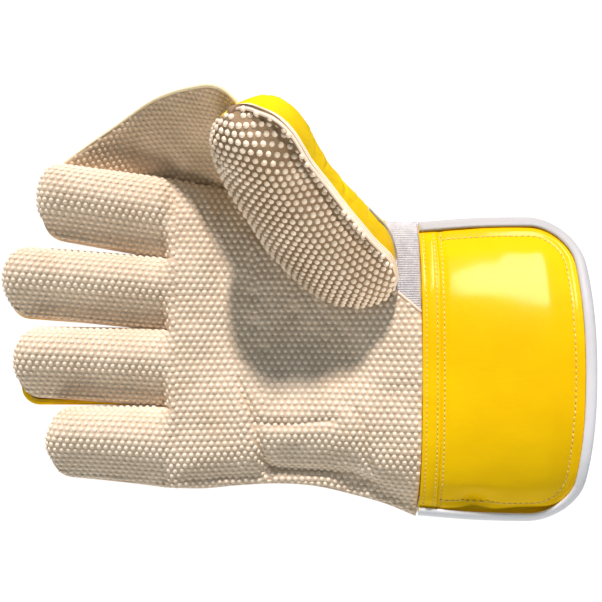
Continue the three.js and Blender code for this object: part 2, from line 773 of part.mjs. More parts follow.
function cuffPanel(start, side) {
  const inset = BINDING_WALL + BINDING_SLACK;
  const corner = CUFF_CORNER - inset;
  const end = cuffStart + CUFF_LENGTH - inset - CUFF_END_BULGE;
  const straight = steps(CUFF_ROWS, (share) => mix(start, end - corner, share));
  const turned = steps(CORNER_STEPS, (share) => end - corner * (1 - Math.sin(share * Math.PI / 2)));
  const grid = [...straight, ...turned.slice(1)].map((x) => {
    const width = panelRow(x, inset);
    const bulge = CUFF_END_BULGE * Math.max(0, (x - end + corner) / corner) ** 2;
    return sideways(CUFF_COLUMNS).map((across) => {
      const place = x + bulge * (1 - across * across);
      return cuffPoint(place, cuffMiddle + across * width, side, side * CUFF_WALL / 2);
    });
  });
  const square = (point, normal) => {
    normal.x = point.x < start + GAP ? 0 : normal.x;
  };
  return wallOf(cellsOf(grid), CUFF_WALL, new THREE.Vector3(0, 0, side), square);
}

function cuffBinding(start, side) {
  const end = cuffStart + CUFF_LENGTH - CUFF_END_BULGE;
  const stations = [];
  for (const way of [1, -1]) {
    const list = [];
    for (const x of steps(CUFF_ROWS, (share) => mix(start, end - CUFF_CORNER, share))) {
      list.push({ x, y: way * cuffHalfWidth(x), inX: 0, inY: -way });
    }
    for (const share of steps(CORNER_STEPS, (value) => value).slice(1)) {
      const angle = share * Math.PI / 2;
      const x = end - CUFF_CORNER + CUFF_CORNER * Math.sin(angle);
      const y = way * (cuffHalfWidth(x) - CUFF_CORNER * (1 - Math.cos(angle)));
      list.push({ x, y, inX: -Math.sin(angle), inY: -way * Math.cos(angle) });
    }
    const width = cuffHalfWidth(end) - CUFF_CORNER;
    for (const share of steps(CUFF_ROWS, (value) => 1 - value).slice(1)) {
      const x = end + CUFF_END_BULGE * (1 - share * share);
      list.push({ x, y: way * width * share, inX: -1, inY: 0 });
    }
    stations.push(...(way > 0 ? list : list.reverse().slice(1)));
  }
  const surface = (station, inward, level) => {
    const x = station.x + station.inX * inward;
    const y = cuffMiddle + station.y + station.inY * inward;
    return cuffPoint(x, y, side, level);
  };
  const size = { width: CUFF_BINDING_WIDTH, wall: BINDING_WALL, thickness: CUFF_WALL };
  return channelOf(stations, size, surface);
}

function seamBand() {
  const level = (CUFF_WALL + CUFF_STEP) / 2;
  const grid = steps(BAND_STEPS, (share) => mix(cuffStart, cuffFrontStart - GAP, share)).map((x) => {
    return sideways(CUFF_COLUMNS).map((across) => {
      return cuffPoint(x, cuffMiddle + across * cuffHalfWidth(x), 1, level);
    });
  });
  const square = (point, normal) => {
    normal.x = 0;
  };
  return wallOf(cellsOf(grid), CUFF_WALL, new THREE.Vector3(0, 0, 1), square);
}

// Solids, cut where the thumb and the web are sewn on
const thumbOutside = thumbForm(GAP);
const handOutside = handForm(JOIN_GAP, PALM_LENGTH);
const thumbHollow = thumbForm(-LEATHER_WALL);
const thumbMouth = thumbHollow.intersect(handForm(LEATHER_WALL, handEnd - THUMB_SEAM));
const indexOutside = fingerForm(0, GAP);

function trimmedWeb(sheet) {
  return sheet.subtract(indexOutside).subtract(handOutside).subtract(thumbOutside);
}

const group = new THREE.Group();
const RUBBER = { color: '#f0e2ce', roughness: 0.62, metalness: 0 };
const LEATHER = { color: '#fcda00', roughness: 0.28, metalness: 0 };
const BINDING = { color: '#eef1f8', roughness: 0.4, metalness: 0 };
const FABRIC = { color: '#d7d7e1', roughness: 0.85, metalness: 0 };

function addPiece(name, solid, look) {
  const mesh = solid.getMesh();
  const geometry = new THREE.BufferGeometry();
  geometry.setAttribute('position', new THREE.BufferAttribute(mesh.vertProperties, 3));
  geometry.setIndex(new THREE.BufferAttribute(mesh.triVerts, 1));
  geometry.computeVertexNormals();
  const piece = new THREE.Mesh(geometry, new THREE.MeshStandardMaterial(look));
  piece.name = name;
  group.add(piece);
}

addPiece('palm_facing', palmFacing().subtract(thumbMouth), RUBBER);
addPiece('thumb_facing', thumbHalf(1, RUBBER_WALL).subtract(handOutside), RUBBER);
addPiece('thumb_back', thumbHalf(-1, LEATHER_WALL).subtract(handOutside), LEATHER);
addPiece('hand_back', leatherWall(GAP / 2, handEnd - GAP, LEATHER_WALL).subtract(thumbMouth), LEATHER);
addPiece('wrist_band', leatherWall(handEnd, PALM_LENGTH, BAND_WALL).subtract(thumbOutside), FABRIC);
FINGERS.forEach((finger, place) => {
  addPiece(`${finger.name}_back`, fingerBack(place), LEATHER);
});
addPiece('web_facing', trimmedWeb(webSheet(0, WEB_RUBBER_WALL)), RUBBER);
addPiece('web_back', trimmedWeb(webSheet(WEB_RUBBER_WALL + GAP, WEB_LEATHER_WALL)), LEATHER);
addPiece('web_binding', trimmedWeb(webBinding()), LEATHER);
addPiece('cuff_seam_band', seamBand(), LEATHER);
addPiece('cuff_front', cuffPanel(cuffFrontStart, 1), LEATHER);
addPiece('cuff_back', cuffPanel(cuffStart, -1), LEATHER);
addPiece('cuff_front_binding', cuffBinding(cuffFrontStart, 1), BINDING);
addPiece('cuff_back_binding', cuffBinding(cuffStart, -1), BINDING);

const box = new THREE.Box3().setFromObject(group);
const centre = box.getCenter(new THREE.Vector3());
group.position.set(-centre.x, -centre.y, -box.min.z);

export default group;
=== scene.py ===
import math

import bpy
import numpy as np
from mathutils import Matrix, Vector
from mathutils.bvhtree import BVHTree


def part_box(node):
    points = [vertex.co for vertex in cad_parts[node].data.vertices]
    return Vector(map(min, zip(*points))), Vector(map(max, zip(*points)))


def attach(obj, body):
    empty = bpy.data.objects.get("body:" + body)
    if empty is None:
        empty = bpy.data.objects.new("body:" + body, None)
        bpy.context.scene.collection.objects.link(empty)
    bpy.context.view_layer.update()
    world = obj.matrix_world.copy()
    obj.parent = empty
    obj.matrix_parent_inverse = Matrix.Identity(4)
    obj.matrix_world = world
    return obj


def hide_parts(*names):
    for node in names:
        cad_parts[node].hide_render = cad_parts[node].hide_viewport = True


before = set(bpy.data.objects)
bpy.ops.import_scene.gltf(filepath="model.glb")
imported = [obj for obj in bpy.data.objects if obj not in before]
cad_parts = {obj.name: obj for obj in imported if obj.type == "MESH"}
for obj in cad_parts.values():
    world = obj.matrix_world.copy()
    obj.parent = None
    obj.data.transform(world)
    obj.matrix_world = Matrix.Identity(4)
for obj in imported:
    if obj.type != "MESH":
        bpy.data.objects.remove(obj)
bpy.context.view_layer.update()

MM = 0.001

# The sizes below are those of the solids, in millimetres, but the finger tips (TIP_CORNER, TIP_DOME) and
# the cuff's corner are a little fuller. x is 0 at the finger crotches, the fingers point along -X, the
# thumb side is +Y and z is 0 at the floor.
SEAM_GAP = 0.6
GAP = 0.3
HAND_WIDTH = 169
PALM_LENGTH = 138
SEAM_HEIGHT = 24
REST_FLAT = 1.6
FINGER_LENGTH = 85
FINGER_RISE = 16
FINGER_CURL = 7
TIP_CORNER = 9.5
TIP_DOME = 16
TIP_BULGE = 3
PALM_RISE = 26
FINGER_FADE = 24
FINGER_ROUND = 2.5
HAND_ROUND = 3
WRIST_ROUND = 2.1
RUBBER_TURN = 0.3
THUMB_BACKWARD = 77
THUMB_SIDEWAYS = 85
THUMB_LIFT = 62
THUMB_WIDTH = 54
THUMB_FRONT = 15
THUMB_BACK = 26
THUMB_TIP_DOME = 24
THUMB_ROOT_DOME = 30
THUMB_ROUND = 2.3
WEB_SPREAD = 44
WEB_SAG = 6
WEB_START = 0.83
WEB_END = 0.50
WEB_ROOT_DEPTH = 7
WEB_RUBBER_WALL = 1.8
WEB_LEATHER_WALL = 1.1
WRIST_BAND_WIDTH = 17
SEAM_BAND_WIDTH = 9.6
CUFF_LENGTH = 86
CUFF_WIDTH = 162
CUFF_FRONT_HEIGHT = 62
CUFF_SIDE_HEIGHT = 28
CUFF_CORNER = 25
CUFF_END_BULGE = 3
CUFF_STEP = 1.6
CUFF_WALL = 3.4
CUFF_START_ROUND = 3.2
CUFF_END_ROUND = 2.4
CUFF_FLAT = 0.3
BINDING_WALL = 1.3
BINDING_SLACK = 0.6
CUFF_BINDING_WIDTH = 6
RUBBER_WALL, LEATHER_WALL, KNIT_WALL = 2.4, 2.8, 2.2
WEB_FRONT_WALL, WEB_BACK_WALL = 1.7, 1.0
half = HAND_WIDTH / 2


def table(*rows):
    """Rows of numbers as one array for each column."""
    return [np.array(column, float) for column in zip(*rows)]


# Base and tip width, lean towards the thumb, length, and how far the leather shows at the side
FINGERS = [
    ("index", 0.259, 0.238, 0.056, 0.784, 0),
    ("middle", 0.232, 0.219, 0.043, 1, 0.01),
    ("ring", 0.248, 0.216, 0.024, 0.932, 0.032),
    ("little", 0.261, 0.213, 0.023, 0.727, 0),
]
PLACES = range(len(FINGERS))
# Place along the palm, little finger's side, thumb's side, edge of the rubber
OUTLINE = table(
    (0, 1, 1, 1),
    (0.15, 1.006, 0.965, 0.965),
    (0.3, 0.985, 0.924, 0.924),
    (0.45, 0.974, 0.88, 0.765),
    (0.6, 0.99, 0.825, 0.605),
    (0.75, 1.045, 0.765, 0.445),
    (0.88, 1.105, 0.728, 0.305),
    (1, 1.185, 0.724, 0.14),
)
# Place along the palm, height at the little finger's side, in the middle, at the thumb's side
PALM_HEIGHTS = table(
    (0, 0.62, 0.62, 0.62),
    (0.15, 0.56, 0.5, 0.56),
    (0.35, 0.6, 0.38, 0.5),
    (0.55, 0.7, 0.38, 0.58),
    (0.75, 0.82, 0.58, 0.74),
    (0.9, 0.92, 0.8, 0.88),
    (1, 0.96, 0.96, 0.94),
)
# Place along the thumb, its three reaches, width, depth in front of and behind the seam
THUMB_LINE = table(
    (0, 0, 0, 0, 0.8, 0.9, 1.1),
    (0.19, 0.23, 0.16, 0.16, 0.98, 1, 1.2),
    (0.4, 0.47, 0.37, 0.36, 1.08, 1, 1),
    (0.61, 0.66, 0.59, 0.57, 1.03, 0.96, 0.8),
    (0.72, 0.75, 0.7, 0.69, 1, 0.94, 0.86),
    (0.85, 0.85, 0.85, 0.85, 0.92, 0.92, 0.9),
    (1, 1, 1, 1, 0.84, 0.86, 0.84),
)
THUMB_FACING = np.array((-0.52, -0.52, 0.68))
THUMB_ROOT = np.array((0.86 * PALM_LENGTH, 0.23 * half, 1.5 * SEAM_HEIGHT))
# Place along the web's root, how far out, up and back its free edge lies, and its sag
WEB_EDGE = table(
    (0, 0.03, 0, 0.02, 0),
    (0.2, 0.49, 0.22, 0.08, 0.3),
    (0.4, 0.79, 0.65, 0.06, 0.8),
    (0.6, 0.9, 1.1, -0.03, 1),
    (0.8, 0.91, 1.46, -0.2, 0.8),
    (1, 0.7, 1.45, -0.45, 0.4),
)
# Place along the cuff, its width, and its height in the middle
CUFF_SECTIONS = table(
    (0, 0.972, 0.7),
    (0.35, 0.996, 0.84),
    (0.7, 1, 0.95),
    (1, 0.992, 1),
)


# Small helpers
def mix(a, b, share):
    return a + (b - a) * share


def fade(value):
    share = np.clip(value, 0, 1)
    return share * share * (3 - 2 * share)


def arch(across, roundness):
    inside = 1 - np.minimum(np.abs(across), 1) ** roundness
    return inside ** (1 / roundness)


def bell(offset, width):
    return np.exp(-(offset / width) ** 2)


def unit(vectors):
    return vectors / np.maximum(np.linalg.norm(vectors, axis=-1, keepdims=True), 1e-9)


def stack(x, y, z):
    return np.stack(np.broadcast_arrays(x, y, z), -1).astype(float)


def together(*values):
    return np.broadcast_arrays(*(np.asarray(value, float) for value in values))


def curve(rows, column, at):
    """The smooth curve through one column of a table."""
    knots, values = rows[0], rows[column]
    last = len(knots) - 1
    before = np.maximum(np.arange(last + 1) - 1, 0)
    after = np.minimum(np.arange(last + 1) + 1, last)
    slopes = (values[after] - values[before]) / (knots[after] - knots[before])
    row = np.clip(np.searchsorted(knots, at, side="left") - 1, 0, last - 1)
    span = knots[row + 1] - knots[row]
    t = (at - knots[row]) / span
    rise = values[row + 1] - values[row]
    bend = slopes[row] * span * (1 - t) - slopes[row + 1] * span * t - rise * (1 - 2 * t)
    return values[row] + rise * t + t * (1 - t) * bend


def sideways(count):
    return -np.cos(np.pi * np.linspace(0, 1, count + 1))


def quarter(count):
    """Shares from 0 to 1 that crowd towards 1, as on a quarter of a circle."""
    return np.sin(np.linspace(0, 1, count + 1) * np.pi / 2)


def cumulative(points):
    steps = np.linalg.norm(np.diff(points, axis=0), axis=1)
    return np.concatenate(([0], np.cumsum(steps)))


def along_row(points, arcs, wanted):
    return np.stack([np.interp(wanted, arcs, points[:, axis]) for axis in range(3)], -1)


def lumps(x, y, size, seed):
    """Smooth random heights between -1 and 1, with one value every size millimetres."""
    cells = 64
    values = np.random.default_rng(seed).uniform(-1, 1, (cells, cells))
    u, v = x / size + cells, y / size + cells
    i, j = np.floor(u).astype(int), np.floor(v).astype(int)
    fu, fv = fade(u - i), fade(v - j)
    near = mix(values[i % cells, j % cells], values[(i + 1) % cells, j % cells], fu)
    far = mix(values[i % cells, (j + 1) % cells], values[(i + 1) % cells, (j + 1) % cells], fu)
    return mix(near, far, fv)


def line_distance(x, y, points):
    """Distance of each place to a bent line, and the share of the line's length there."""
    points = np.array(points, float)
    lengths = np.linalg.norm(np.diff(points, axis=0), axis=1)
    passed = cumulative(points)
    best = np.full(np.shape(x), 1e9)
    share = np.zeros(np.shape(x))
    for place in range(len(points) - 1):
        start, way = points[place], (points[place + 1] - points[place]) / lengths[place]
        along = np.clip((x - start[0]) * way[0] + (y - start[1]) * way[1], 0, lengths[place])
        gap = np.hypot(x - start[0] - along * way[0], y - start[1] - along * way[1])
        share = np.where(gap < best, (passed[place] + along) / passed[-1], share)
        best = np.minimum(gap, best)
    return best, share


# Hand outline and surfaces
def hand_edges(x):
    at = np.clip(x / PALM_LENGTH, 0, 1)
    radial = half * curve(OUTLINE, 2, at)
    rubber = np.minimum(half * curve(OUTLINE, 3, at), radial)
    return -half * curve(OUTLINE, 1, at), radial, np.where(at > RUBBER_TURN, rubber, radial)


BASE_EDGES = half - HAND_WIDTH * np.cumsum([0] + [finger[1] for finger in FINGERS])


def side_shape(x, across):
    return arch(across, mix(HAND_ROUND, WRIST_ROUND, fade(x / PALM_LENGTH)))


def smooth_palm(x, y):
    at = np.clip(x / PALM_LENGTH, 0, 1)
    ulnar, radial, _ = hand_edges(x)
    across = np.clip((2 * y - ulnar - radial) / (radial - ulnar), -1, 1)
    mound = np.where(across < 0, curve(PALM_HEIGHTS, 1, at), curve(PALM_HEIGHTS, 3, at))
    share = mix(curve(PALM_HEIGHTS, 2, at), mound, fade(np.abs(across) / 0.6))
    return PALM_RISE * share * side_shape(x, across), across


def finger_ridge(across):
    """Height of the fingers' ridges, and the distance in from each finger's lower seam."""
    place = across * half
    finger = np.clip((place[..., None] < BASE_EDGES[1:]).sum(-1), 0, len(FINGERS) - 1)
    outer, inner = BASE_EDGES[finger], BASE_EDGES[finger + 1]
    ridge = FINGER_RISE * arch((2 * place - outer - inner) / (outer - inner), FINGER_ROUND)
    return ridge, place - inner


def palm_point(x, y, lift):
    hand, across = smooth_palm(x, y)
    rise = mix(finger_ridge(across)[0], hand, fade(x / FINGER_FADE))
    return stack(x, y, SEAM_HEIGHT + lift + rise)


def back_point(x, across, lift):
    ulnar, radial, _ = hand_edges(x)
    drop = (SEAM_HEIGHT + REST_FLAT) * side_shape(x, across)
    y = mix(ulnar, radial, (across + 1) / 2)
    return stack(x, y, np.maximum(0, SEAM_HEIGHT + lift - drop))


def finger_length(place):
    return FINGERS[place][4] * FINGER_LENGTH - TIP_BULGE


def finger_point(place, along, across, side, inset=0.0, spread=0.0):
    _, base, tip, shift, _, shown = FINGERS[place]
    radial, ulnar = BASE_EDGES[place], BASE_EDGES[place + 1]
    length = finger_length(place)
    share = along / length
    middle = (radial + ulnar) / 2 + share * shift * HAND_WIDTH
    corner = np.maximum(0, (along - length + TIP_CORNER) / TIP_CORNER)
    cut = TIP_CORNER * (1 - np.sqrt(np.maximum(0, 1 - corner * corner)))
    width = mix(radial - ulnar, tip * HAND_WIDTH, share) / 2 - cut - inset
    dome = np.maximum(0, (along - length + TIP_DOME) / TIP_DOME)
    height = arch(across, FINGER_ROUND) * arch(dome, FINGER_ROUND)
    x = -along - TIP_BULGE * share ** 3 * (1 - across * across)
    lean = spread * share * HAND_WIDTH * shown * (1 - across) / 2
    seam = SEAM_HEIGHT + FINGER_CURL * share * share
    z = FINGER_RISE * height if side > 0 else -(SEAM_HEIGHT + REST_FLAT) * height
    return stack(x, middle + across * width - lean, np.maximum(0, seam + side * SEAM_GAP / 2 + z))


# Thumb and web surfaces
def thumb_centre(share):
    reach = [curve(THUMB_LINE, column, share) for column in (1, 2, 3)]
    return THUMB_ROOT + stack(-THUMB_BACKWARD * reach[0], THUMB_SIDEWAYS * reach[1], THUMB_LIFT * reach[2])


thumb_length = math.hypot(THUMB_BACKWARD, THUMB_SIDEWAYS, THUMB_LIFT)


def thumb_frame(share):
    step = 0.01
    along = unit(thumb_centre(np.minimum(share + step, 1)) - thumb_centre(np.maximum(share - step, 0)))
    facing = unit(unit(THUMB_FACING) - along * (along @ unit(THUMB_FACING))[..., None])
    return facing, np.cross(along, facing)


def thumb_point(share, angle, side):
    share, angle = together(share, angle)
    facing, across = thumb_frame(share)
    tip = np.maximum(0, (share - 1) * thumb_length / THUMB_TIP_DOME + 1)
    root = np.maximum(0, 1 - share * thumb_length / THUMB_ROOT_DOME)
    ends = arch(tip, THUMB_ROUND) * arch(root, THUMB_ROUND)
    cosine, sine = np.cos(angle), np.sin(angle)
    around = np.abs(cosine) ** THUMB_ROUND + np.abs(sine) ** THUMB_ROUND
    size = ends * around ** (-1 / THUMB_ROUND)
    front, back = curve(THUMB_LINE, 5, share), curve(THUMB_LINE, 6, share)
    reach = np.where(sine > 0, THUMB_FRONT * front, THUMB_BACK * back)
    width = THUMB_WIDTH / 2 * curve(THUMB_LINE, 4, share) * size * cosine
    depth = reach * size * sine + side * GAP / 2
    return thumb_centre(share) + across * width[..., None] + facing * depth[..., None]


web_start = -WEB_START * FINGERS[0][4] * FINGER_LENGTH
web_end = WEB_END * PALM_LENGTH


def web_surface(share, out):
    share, out = together(share, out)
    x = mix(web_start, web_end, share)
    on_finger = finger_point(0, np.maximum(-x, 0), np.ones_like(x), 1)[..., 1]
    y = np.where(x < 0, on_finger, hand_edges(x)[1])
    z = SEAM_HEIGHT + FINGER_CURL * (np.maximum(-x, 0) / finger_length(0)) ** 2
    edge = [WEB_SPREAD * curve(WEB_EDGE, column, share) for column in (3, 1, 2)]
    free = stack(x + edge[0], y + edge[1], z + edge[2])
    buried = stack(x, y - WEB_ROOT_DEPTH, z - WEB_ROOT_DEPTH / 3)
    point = mix(buried, free, out[..., None])
    point[..., 2] -= WEB_SAG * curve(WEB_EDGE, 4, share) * 4 * out * (1 - out)
    return point


def web_normal(share, out):
    step = 0.01
    place, level = np.clip(share, step, 1 - step), np.clip(out, step, 1 - step)
    along = web_surface(place + step, level) - web_surface(place - step, level)
    outward = web_surface(place, level + step) - web_surface(place, level - step)
    return unit(np.cross(along, outward))


def web_point(share, out, depth):
    share, out = together(share, out)
    return web_surface(share, out) - web_normal(share, out) * np.asarray(depth)[..., None]


def web_length(share):
    return np.linalg.norm(web_surface(share, 1.0) - web_surface(share, 0.0), axis=-1)


# Cuff surfaces
cuff_start = PALM_LENGTH + GAP
wrist_edges = [float(edge) for edge in hand_edges(np.float64(PALM_LENGTH))[:2]]
cuff_middle = sum(wrist_edges) / 2
cuff_front_start = cuff_start + SEAM_BAND_WIDTH + GAP
binding_half = CUFF_WALL / 2 + BINDING_SLACK + BINDING_WALL


def cuff_half_width(x):
    at = np.clip((x - cuff_start) / CUFF_LENGTH, 0, 1)
    return CUFF_WIDTH / 2 * curve(CUFF_SECTIONS, 1, at)


def cuff_height(x, y, side):
    at = np.clip((x - cuff_start) / CUFF_LENGTH, 0, 1)
    across = np.abs(y - cuff_middle) / cuff_half_width(x)
    side_height = mix(SEAM_HEIGHT, CUFF_SIDE_HEIGHT, at)
    if side > 0:
        lens = 1 - np.minimum(across, 1) ** mix(CUFF_START_ROUND, CUFF_END_ROUND, at)
        rise = (CUFF_FRONT_HEIGHT - CUFF_SIDE_HEIGHT) * curve(CUFF_SECTIONS, 2, at)
        return side_height + binding_half + (rise - binding_half) * lens
    curl = np.maximum(0, (across - CUFF_FLAT) / (1 - CUFF_FLAT)) ** CUFF_END_ROUND
    return binding_half + (side_height - 2 * binding_half) * curl


def cuff_point(x, y, side, level):
    x, y = together(x, y)
    step = 0.5
    slope_x = (cuff_height(x + step, y, side) - cuff_height(x - step, y, side)) / (2 * step)
    slope_y = (cuff_height(x, y + step, side) - cuff_height(x, y - step, side)) / (2 * step)
    normal = unit(stack(-slope_x, -slope_y, 1))
    return stack(x, y, cuff_height(x, y, side)) + normal * np.asarray(level, float)[..., None]


# Meshes
wrist_low, wrist_high = (np.array(corner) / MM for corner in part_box("wrist_band"))
SHIFT = np.array((wrist_high[0] - PALM_LENGTH, wrist_low[1] - wrist_edges[0], 0))


def weld(grids):
    """Grids of points as one sheet: points that coincide become one, flat cells go."""
    points, cells, count = [], [], 0
    for grid in grids:
        rows, columns = grid.shape[:2]
        index = count + np.arange(rows * columns).reshape(rows, columns)
        corners = (index[:-1, :-1], index[:-1, 1:], index[1:, 1:], index[1:, :-1])
        cells.append(np.stack(corners, -1).reshape(-1, 4))
        points.append(grid.reshape(-1, 3))
        count += rows * columns
    points, cells = np.concatenate(points), np.concatenate(cells)
    keys = np.round(points * 1e3).astype(int)
    _, first, same = np.unique(keys, axis=0, return_index=True, return_inverse=True)
    cells = same.reshape(-1)[cells]
    faces = []
    for cell in cells.tolist():
        face = [corner for place, corner in enumerate(cell) if corner != cell[place - 1]]
        if len(set(face)) == len(face) and len(face) > 2:
            faces.append(face)
    return points[first], faces


def normals_of(points, faces):
    normals = np.zeros_like(points)
    for size in (3, 4):
        chosen = np.array([face for face in faces if len(face) == size], int).reshape(-1, size)
        a, b, c, last = (points[chosen[:, corner]] for corner in (0, 1, 2, -1))
        flat = np.cross(b - a, c - a) if size == 3 else np.cross(c - a, last - b)
        for corner in range(size):
            np.add.at(normals, chosen[:, corner], flat)
    return unit(normals)


def sheet_of(grids, facing, keep=None):
    """A welded sheet whose faces look along facing, without the parts that keep turns down."""
    points, faces = weld(grids)
    normals = normals_of(points, faces)
    if float(normals.sum(0) @ np.array(facing, float)) < 0:
        faces = [face[::-1] for face in faces]
    if keep is not None:
        kept = keep(points)
        faces = [face for face in faces if kept[face].all()]
    used = np.unique(np.concatenate([np.array(face) for face in faces]))
    renumber = np.full(len(points), -1)
    renumber[used] = np.arange(len(used))
    return points[used], [renumber[face].tolist() for face in faces]


def shell_of(points, faces, wall):
    """A closed wall under a sheet."""
    normals = normals_of(points, faces)
    edges = {}
    for face in faces:
        for place, corner in enumerate(face):
            edge = (face[place - 1], corner)
            if edges.pop(edge[::-1], None) is None:
                edges[edge] = True
    count = len(points)
    inner = points - normals * wall
    whole = faces + [[corner + count for corner in face[::-1]] for face in faces]
    whole += [[end, start, start + count, end + count] for start, end in edges]
    return np.concatenate((points, inner)), whole


def join(parts):
    """The points and faces of several pieces as those of one."""
    points, faces, count = [], [], 0
    for part_points, part_faces in parts:
        points.append(part_points)
        faces += [[corner + count for corner in face] for face in part_faces]
        count += len(part_points)
    return np.concatenate(points), faces


def mesh_of(name, points, faces, material):
    mesh = bpy.data.meshes.new(name)
    mesh.from_pydata(points, [], faces)
    mesh.materials.append(material)
    return mesh


def in_scene(name, data):
    made = bpy.data.objects.new(name, data)
    bpy.context.scene.collection.objects.link(made)
    return made


def add_object(name, points, faces, material, slot, replaces=()):
    mesh = mesh_of(name, ((points + SHIFT) * MM).tolist(), faces, material)
    mesh.polygons.foreach_set("use_smooth", [True] * len(mesh.polygons))
    mesh.update()
    piece = in_scene(name, mesh)
    if replaces:
        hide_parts(*replaces)
    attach(piece, "root")
    return piece


def add_shell(name, outer, wall, material, slot, node):
    return add_object(name, *shell_of(*outer, wall), material, slot, [node])


def tree_of(*sheets):
    points, faces = join(sheets)
    return BVHTree.FromPolygons(points.tolist(), faces)


def snap(tree, points):
    """The nearest places on a surface, their normals, and how far above it each point lay."""
    points = np.asarray(points).reshape(-1, 3)
    found = [tree.find_nearest(point) for point in points.tolist()]
    places, normals = (np.array([hit[part][:] for hit in found]) for part in (0, 1))
    return places, normals, ((points - places) * normals).sum(1)


# Materials
class Nodes:
    """Short calls for building one material."""

    def __init__(self, name):
        self.material = bpy.data.materials.new(name)
        self.material.use_nodes = True
        self.tree = self.material.node_tree
        self.tree.nodes.clear()

    def feed(self, socket, value):
        """Links a socket or sets its value, a colour being given as three numbers."""
        if isinstance(value, bpy.types.NodeSocket):
            self.tree.links.new(value, socket)
        else:
            socket.default_value = (*value, 1) if isinstance(value, tuple) else value

    def add(self, kind, settings=(), **inputs):
        made = self.tree.nodes.new(kind)
        for key, value in dict(settings).items():
            setattr(made, key, value)
        for key, value in inputs.items():
            self.feed(made.inputs[key.replace("_", " ")], value)
        return made

    def place(self):
        return self.add("ShaderNodeTexCoord").outputs["Object"]

    def sideways(self, low, high):
        """How far a place lies towards the thumb's side, from 0 to 1."""
        split = self.add("ShaderNodeSeparateXYZ", Vector=self.place())
        return self.levels(split.outputs["Y"], low, high)

    def noise(self, scale, detail=3.0, rough=0.5, distort=0.0):
        made = self.add("ShaderNodeTexNoise", Vector=self.place(), Scale=scale, Detail=detail,
                        Roughness=rough, Distortion=distort)
        return made.outputs["Fac"]

    def ramp(self, value, *stops):
        made = self.add("ShaderNodeValToRGB", Fac=value)
        elements = made.color_ramp.elements
        while len(elements) < len(stops):
            elements.new(0.5)
        for element, (where, colour) in zip(elements, stops):
            element.position = where
            element.color = (*colour, 1)
        return made.outputs["Color"]

    def levels(self, value, low, high, start=0.0, end=1.0):
        made = self.add("ShaderNodeMapRange", {"clamp": True}, Value=value, From_Min=low, From_Max=high,
                        To_Min=start, To_Max=end)
        return made.outputs["Result"]

    def blend(self, share, first, second, way="MIX"):
        made = self.add("ShaderNodeMix", {"data_type": "RGBA", "blend_type": way})
        for place, value in ((0, share), (6, first), (7, second)):
            self.feed(made.inputs[place], value)
        return made.outputs[2]

    def sums(self, first, second, way="ADD"):
        made = self.add("ShaderNodeMath", {"operation": way})
        for place, value in enumerate((first, second)):
            self.feed(made.inputs[place], value)
        return made.outputs[0]

    def bump(self, height, distance, strength=1.0, **below):
        made = self.add("ShaderNodeBump", Height=height, Distance=distance, Strength=strength, **below)
        return made.outputs["Normal"]

    def finish(self, **inputs):
        shader = self.add("ShaderNodeBsdfPrincipled", **inputs)
        output = self.add("ShaderNodeOutputMaterial")
        self.tree.links.new(shader.outputs[0], output.inputs[0])
        return self.material


def yellow_leather(name, crease_depth, coat, sun_side_painted_tint):
    nodes = Nodes(name)
    tint = nodes.ramp(nodes.noise(22.0), (0.32, (0.94, 0.57, 0.0)), (0.62, (0.98, 0.63, 0.0)))
    # Painted light: towards the thumb's side, where the sun falls, the colour is multiplied by the last
    # argument's painted tint.
    tint = nodes.blend(nodes.sideways(0.015, 0.075), tint, nodes.blend(1.0, tint, sun_side_painted_tint, "MULTIPLY"))
    grain = nodes.bump(nodes.noise(900.0, 4.0, 0.6), 0.00005)
    crease = nodes.bump(nodes.noise(70.0, 5.0, 0.62, 1.4), crease_depth, 0.5, Normal=grain)
    shine = nodes.levels(nodes.noise(60.0, 4.0), 0.3, 0.7, 0.34, 0.46)
    return nodes.finish(Base_Color=tint, Roughness=shine, Coat_Weight=coat, Coat_Roughness=0.15,
                        Specular_IOR_Level=0.12, Normal=crease)


def rubber(name, low, high, rough):
    nodes = Nodes(name)
    tint = nodes.ramp(nodes.noise(45.0, 4.0, 0.6), (0.3, low), (0.68, high))
    grain = nodes.bump(nodes.noise(1600.0), 0.00006)
    return nodes.finish(Base_Color=tint, Roughness=rough, Normal=grain)


def binding_leather():
    nodes = Nodes("white_binding")
    tint = nodes.ramp(nodes.noise(60.0), (0.3, (0.86, 0.89, 0.97)), (0.7, (0.92, 0.94, 1.0)))
    # Painted shade: the binding is made greyer towards the thumb's side, where the sun lights it most.
    shade = nodes.blend(1.0, tint, (0.54, 0.53, 0.51), "MULTIPLY")
    tint = nodes.blend(nodes.sideways(-0.06, 0.045), tint, shade)
    grain = nodes.bump(nodes.noise(1100.0, 4.0), 0.00005)
    fold = nodes.bump(nodes.noise(140.0, 3.0, 0.5, 0.8), 0.0004, 0.5, Normal=grain)
    return nodes.finish(Base_Color=tint, Roughness=0.42, Normal=fold)


def knit_fabric():
    nodes = Nodes("knit_fabric")
    place = nodes.place()
    rows, ribs = (nodes.add("ShaderNodeTexWave", {"bands_direction": way}, Vector=place, Scale=scale,
                            Distortion=distortion, Detail=1.0).outputs["Fac"]
                  for way, scale, distortion in (("X", 420.0, 1.2), ("Y", 260.0, 0.8)))
    weave = nodes.sums(rows, ribs, "MULTIPLY")
    worn = nodes.noise(260.0, 5.0, 0.7, 0.6)
    cloth = nodes.ramp(worn, (0.3, (0.60, 0.61, 0.70)), (0.62, (0.92, 0.93, 0.97)))
    # Painted shade: the gaps of the weave are darker than the cloth.
    gap = nodes.blend(0.6, (0.30, 0.30, 0.36), cloth)
    tint = nodes.blend(nodes.levels(weave, 0.0, 0.5), gap, cloth)
    return nodes.finish(Base_Color=tint, Roughness=0.9, Sheen_Weight=0.3,
                        Normal=nodes.bump(nodes.sums(weave, worn), 0.0006))


